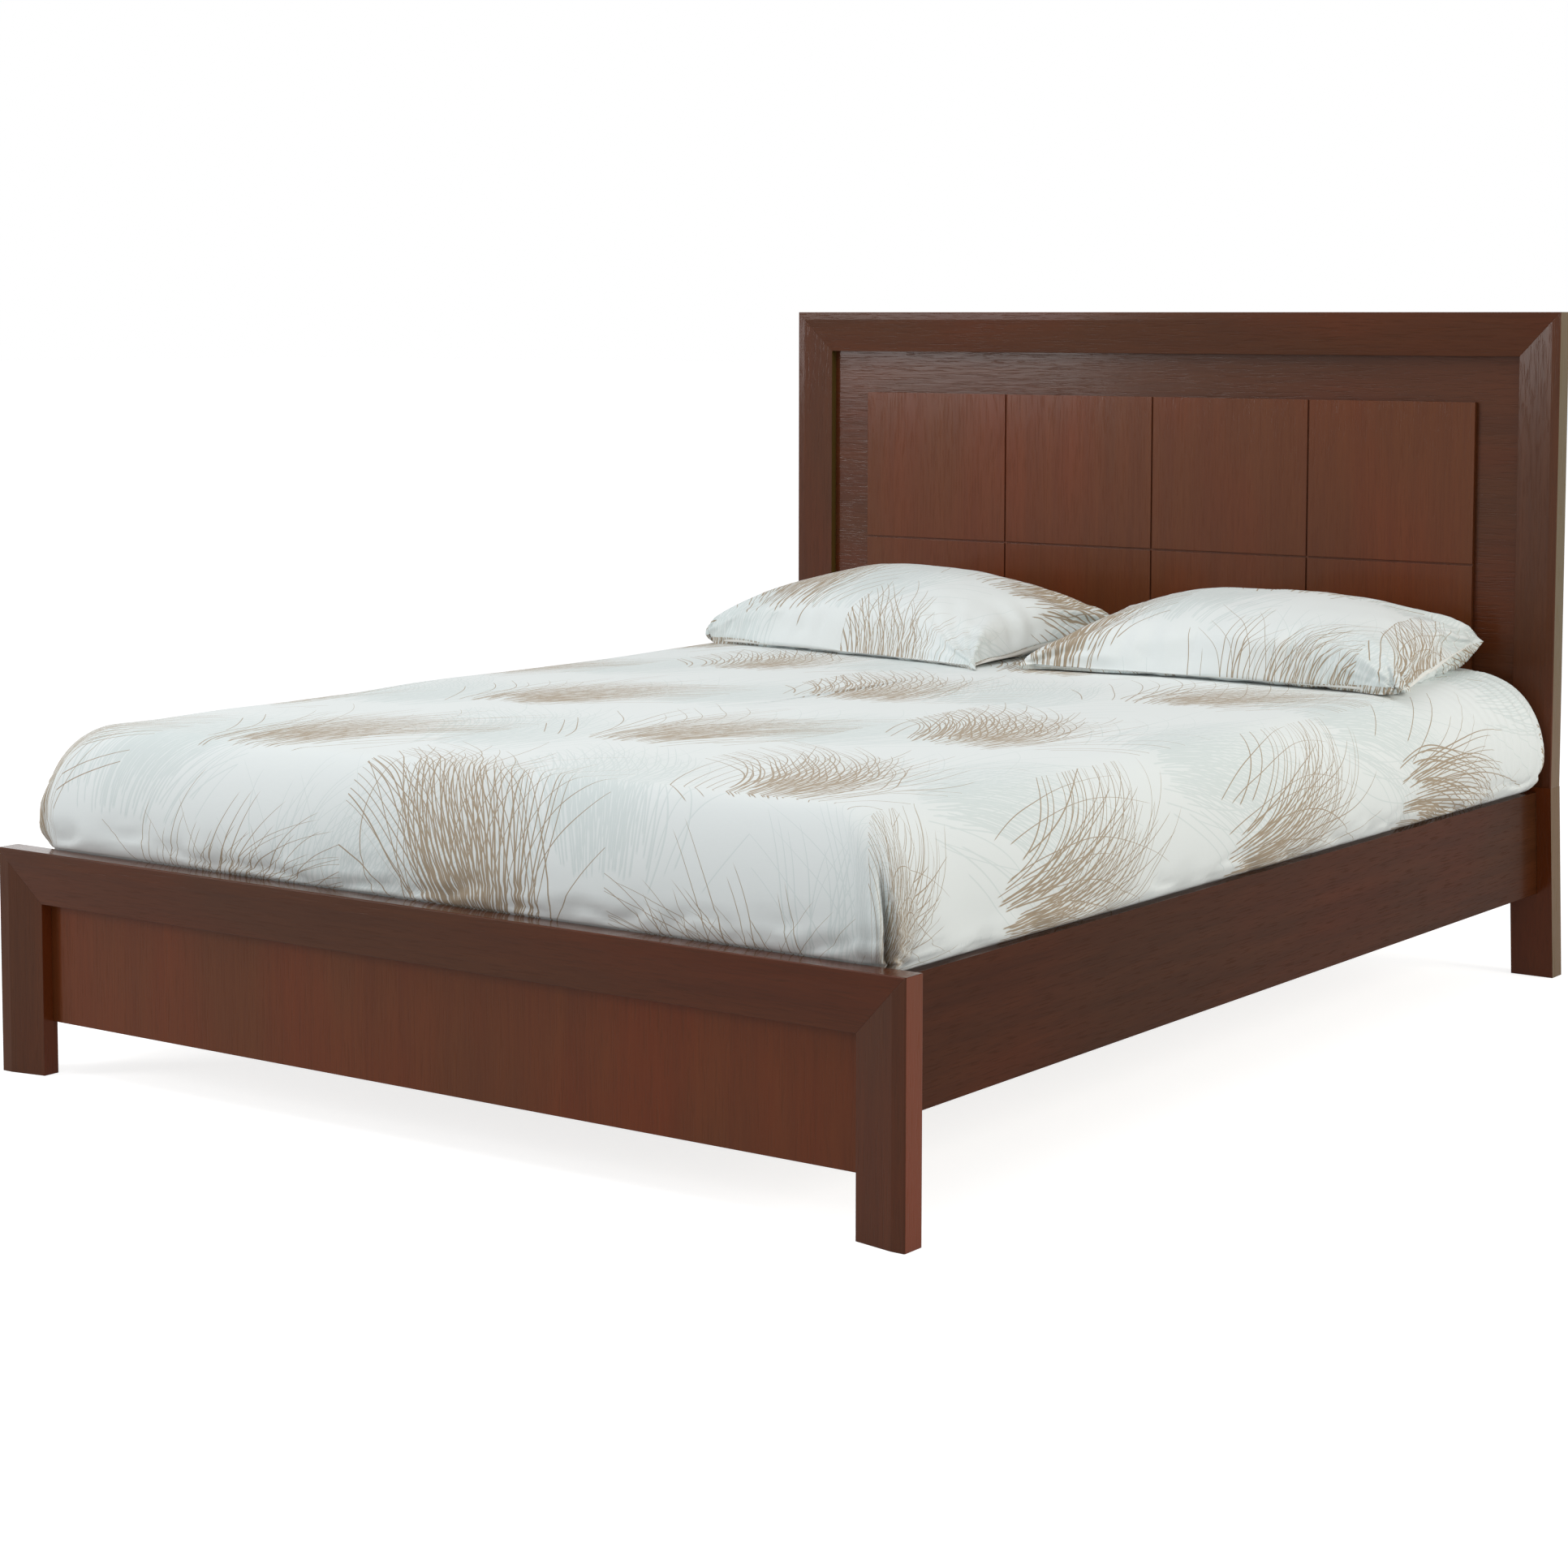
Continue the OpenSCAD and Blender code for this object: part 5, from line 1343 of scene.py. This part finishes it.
def make_mattress(material, piping):
    """A quilted mattress with sewn bands on its side and a tape along each edge."""
    bottom, top = low("mattress").z, high("mattress").z
    middle_y = (low("mattress").y + high("mattress").y) / 2
    rings = []

    def add_ring(plan, z):
        rings.append(np.column_stack([plan[:, 0], plan[:, 1] + middle_y, np.zeros(len(plan)) + z]))

    for inset, z in mattress_side(bottom, top):
        add_ring(mattress_ring(inset)[0], z)
    half_width = (high("mattress").x - low("mattress").x) / 2
    for k in range(1, QUILT_RINGS + 1):
        shrink = (half_width - 0.020) * k / QUILT_RINGS
        plan = mattress_ring(0.016 + shrink, 0.002 + 0.018 * (1 - k / QUILT_RINGS))[0]
        add_ring(plan, top - 0.0075 + QUILT_HEIGHT * quilted(plan[:, 0], plan[:, 1]))
    count = len(rings[0])
    faces = cup_faces(len(rings), count)
    base = len(rings) * count
    add_ring(mattress_ring(0.012)[0], bottom + 0.0015)
    faces += band_faces(base, 0, count)
    faces.append(tuple(range(base + count - 1, base - 1, -1)))
    made = new_object("mattress_dressed", np.concatenate(rings), faces, material)
    tapes = [make_tape("mattress_tape_lower", bottom + TAPE_Z, middle_y, piping),
             make_tape("mattress_tape_upper", top - TAPE_Z, middle_y, piping)]
    return made, tapes


# Operators

# Reach of the floor from its middle, and how far it lies below the bed's soles
FLOOR_REACH = 60.0
FLOOR_DROP = 0.0004
# Colours of daylight and of the warmer lamp
DAY = (1.0, 1.0, 1.0)
WARM = (1.0, 0.955, 0.87)


class BED_OT_wood(bpy.types.Operator):
    """Finish the frame's wooden pieces"""

    bl_idname = "bed.wood"
    bl_label = "Wood"

    def execute(self, context):
        wood = context.scene.bed_wood
        make_wood_grain()
        # Legs, stiles, level rails and posts take painted side light on their faces across the bed
        leg = lacquered_wood("Stained leg", wood.stain, wood.stain_deep, "z", wood.lit_side_stain)
        stile = lacquered_wood("Stained stile", wood.frame_stain, wood.frame_deep, "z", wood.lit_side_stain,
                               coat=0.24)
        level = lacquered_wood("Stained wood level", wood.frame_stain, wood.frame_deep, "x", wood.lit_side_stain)
        field = lacquered_wood("Stained field", wood.frame_stain, wood.frame_deep, "x",
                               coat=0.26, relief=0.0007)
        panel = lacquered_wood("Stained wood panel", wood.stain, wood.stain_deep, "z")
        centre = lacquered_wood("Stained centre panel", wood.stain, wood.stain_deep, "z", coat=0.26)
        rail = lacquered_wood("Stained side rail", wood.rail_stain, wood.rail_deep, "y", coat=0.06)
        post = lacquered_wood("Stained post", wood.frame_stain, wood.frame_deep, "z", wood.post_lit_side)
        dress(["headboard_leg_left", "headboard_leg_right"], leg)
        dress(["headboard_stile_left", "headboard_stile_right"], stile)
        dress(["headboard_field_panel"], field)
        dress(["footboard_post_left", "footboard_post_right"], post)
        dress(["headboard_centre_panel"], centre)
        dress(["footboard_panel"], panel)
        dress(["headboard_top_rail", "headboard_bottom_rail", "footboard_top_rail"], level)
        dress(["side_rail_left", "side_rail_right"], rail)
        slats = [name for name in NODES if name.startswith("slat_") and name[5:].isdigit()]
        dress(["headboard_cross_rail", "footboard_back_rail", "dowels"] + slats,
              plain_wood("Deck wood across", wood.pale, wood.pale_deep, "x"))
        dress(["slat_cleat_left", "slat_cleat_right", "centre_beam"],
              plain_wood("Deck wood along", wood.pale, wood.pale_deep, "y"))
        dress(["centre_leg_foot", "centre_leg_head"],
              plain_wood("Deck wood upright", wood.pale, wood.pale_deep, "z"))
        return {"FINISHED"}


class BED_OT_fittings(bpy.types.Operator):
    """Finish the steel and nylon fittings"""

    bl_idname = "bed.fittings"
    bl_label = "Fittings"

    def execute(self, context):
        steel = zinc_steel()
        plates = [name for name in NODES if name.startswith(("hook_plate", "receiver", "beam_bracket"))]
        dress(plates + ["plate_screws", "leg_bolts"], steel)
        for node in ("slat_screws", "cleat_screws", "bracket_screws", "panel_screws"):
            dress_screws(node, steel)
        dress(["leveller_foot", "leveller_head"], black_nylon())
        return {"FINISHED"}


class BED_OT_mattress(bpy.types.Operator):
    """Make the quilted mattress"""

    bl_idname = "bed.mattress"
    bl_label = "Mattress"

    def execute(self, context):
        make_weave()
        ticking = plain_cloth("Ticking", (0.80, 0.79, 0.75, 1), (0.70, 0.69, 0.65, 1), 700.0)
        tape = plain_cloth("Edge tape", (0.46, 0.45, 0.42, 1), (0.36, 0.35, 0.33, 1), 500.0)
        made, tapes = make_mattress(ticking, tape)
        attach(made, "mattress")
        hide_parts("mattress")
        for piece in tapes:
            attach(piece, "mattress")
        return {"FINISHED"}


class BED_OT_duvet(bpy.types.Operator):
    """Make the tucked-in duvet"""

    bl_idname = "bed.duvet"
    bl_label = "Duvet"

    def execute(self, context):
        make_blades()
        make_spray()
        cotton = printed_cotton("Printed cotton duvet", context.scene.bed_print, (0.13, 0.21))
        made = make_duvet(context.scene.bed_bedding, cotton)
        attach(made, "duvet")
        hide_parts("duvet")
        return {"FINISHED"}


class BED_OT_pillows(bpy.types.Operator):
    """Make the two pillows, each a case over a filling"""

    bl_idname = "bed.pillows"
    bl_label = "Pillows"

    def execute(self, context):
        bedding = context.scene.bed_bedding
        thread = sewing_thread()
        filling = plain_cloth("Filling cloth", (0.83, 0.83, 0.80, 1), (0.76, 0.76, 0.73, 1), 900.0)
        for side, word, shift in ((-1, "left", (0.30, 0.30)), (1, "right", (0.12, 0.06))):
            cotton = printed_cotton("Printed cotton pillow " + word, context.scene.bed_print, shift, 0.85)
            case, grid_top, grid_under = make_pillow(bedding, side, cotton)
            inner = make_pillow(bedding, side, filling, inset=0.018, name="pillow_filling")[0]
            for piece, node, slot, fill in ((case, "pillowcase_", "printed_cotton", 0.6),
                                            (inner, "pillow_filling_", "filling", 0.7)):
                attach(piece, "pillow_" + word)
                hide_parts(node + word)
            row = CASE_CELLS[0] - HEM_ROW if side > 0 else HEM_ROW
            paths = hem_paths(case, (grid_top, grid_under), row)
            hem = stitched("pillow_hem_" + word, paths, bedding.stitch, THREAD, thread)
            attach(hem, "pillow_" + word)
        return {"FINISHED"}


class BED_OT_stage(bpy.types.Operator):
    """Set up the floor, the lamps and the camera"""

    bl_idname = "bed.stage"
    bl_label = "Stage"

    def execute(self, context):
        stage = context.scene.bed_stage
        scene = context.scene
        scene.view_settings.view_transform = "Standard"
        floor_material = bpy.data.materials.new("Floor")
        t = cleared(floor_material)
        matte = t.add("ShaderNodeBsdfDiffuse", {"Color": colour(stage.floor)})
        seen = t.math("MULTIPLY", seen_directly(t), stage.floor_white)
        lit = t.add("ShaderNodeEmission", {"Color": (1, 1, 1, 1), "Strength": seen})
        above = t.add("ShaderNodeAddShader", {0: matte, 1: lit})
        below = t.add("ShaderNodeNewGeometry").outputs["Backfacing"]
        surface = t.add("ShaderNodeMixShader", {0: below, 1: above, 2: t.add("ShaderNodeBsdfTransparent")})
        t.add("ShaderNodeOutputMaterial", {"Surface": surface})
        corners = [(-FLOOR_REACH, -FLOOR_REACH, 0), (FLOOR_REACH, -FLOOR_REACH, 0),
                   (FLOOR_REACH, FLOOR_REACH, 0), (-FLOOR_REACH, FLOOR_REACH, 0)]
        floor = new_object("floor", corners, [(0, 1, 2, 3)], floor_material, smooth=False)
        floor.location.z = -FLOOR_DROP
        world = bpy.data.worlds.new("Room")
        t = cleared(world)
        shown = t.span(seen_directly(t), 0.0, 1.0, stage.room, 1.0)
        back = t.add("ShaderNodeBackground", {"Color": (1, 1, 1, 1), "Strength": shown})
        t.add("ShaderNodeOutputWorld", {"Surface": back})
        scene.world = world
        # Each lamp: power, colour, place, point that it is aimed at, width and height
        for name, power, shade, at, to, wide, tall in (
                ("window_lamp", stage.key, DAY, (-4.0, -4.5, 2.15), (0.0, 0.2, 0.5), 1.3, 2.6),
                ("overhead_lamp", stage.overhead, DAY, (-0.6, -1.6, 4.6), (0.0, 0.0, 0.4), 3.4, 2.6),
                ("side_lamp", stage.fill, WARM, (4.9, 1.0, 2.2), (0.3, -0.6, 0.4), 1.8, 2.2)):
            lamp = bpy.data.lights.new(name, "AREA")
            lamp.energy = power
            lamp.color = shade
            lamp.shape = "RECTANGLE"
            lamp.size = wide
            lamp.size_y = tall
            made = new_piece(name, lamp)
            made.location = at
            made.rotation_euler = (Vector(to) - Vector(at)).to_track_quat("-Z", "Y").to_euler()
        camera = bpy.data.cameras.new("camera")
        camera.lens = stage.lens
        camera.sensor_width = 36.0
        camera.shift_x = stage.shift_across
        camera.shift_y = stage.shift_up
        camera.clip_end = 200.0
        made = new_piece("camera", camera)
        made.location = stage.place
        made.rotation_euler = Euler(stage.aim)
        scene.camera = made
        return {"FINISHED"}


class BED_PT_panel(bpy.types.Panel):
    """Lists the steps that dress the bed"""

    bl_label = "Bed"
    bl_idname = "BED_PT_panel"
    bl_space_type = "VIEW_3D"
    bl_region_type = "UI"
    bl_category = "Bed"

    def draw(self, context):
        layout = self.layout
        for name in STEPS:
            layout.operator("bed." + name)


STEPS = ("wood", "fittings", "mattress", "duvet", "pillows", "stage")
CLASSES = (WoodSettings, PrintSettings, BeddingSettings, StageSettings, BED_OT_wood, BED_OT_fittings,
           BED_OT_mattress, BED_OT_duvet, BED_OT_pillows, BED_OT_stage, BED_PT_panel)
SETTINGS = {"bed_wood": WoodSettings, "bed_print": PrintSettings, "bed_bedding": BeddingSettings,
            "bed_stage": StageSettings}


def register():
    """Registers the classes and puts the settings on the scene."""
    for cls in CLASSES:
        bpy.utils.register_class(cls)
    for name, cls in SETTINGS.items():
        setattr(bpy.types.Scene, name, bpy.props.PointerProperty(type=cls))


def unregister():
    """Takes the settings and the classes away again."""
    for name in SETTINGS:
        delattr(bpy.types.Scene, name)
    for cls in reversed(CLASSES):
        bpy.utils.unregister_class(cls)


def main():
    """Registers the add-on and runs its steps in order."""
    register()
    bpy.ops.bed.wood()
    bpy.ops.bed.fittings()
    bpy.ops.bed.mattress()
    bpy.ops.bed.duvet()
    bpy.ops.bed.pillows()
    bpy.ops.bed.stage()


if __name__ == "__main__":
    main()
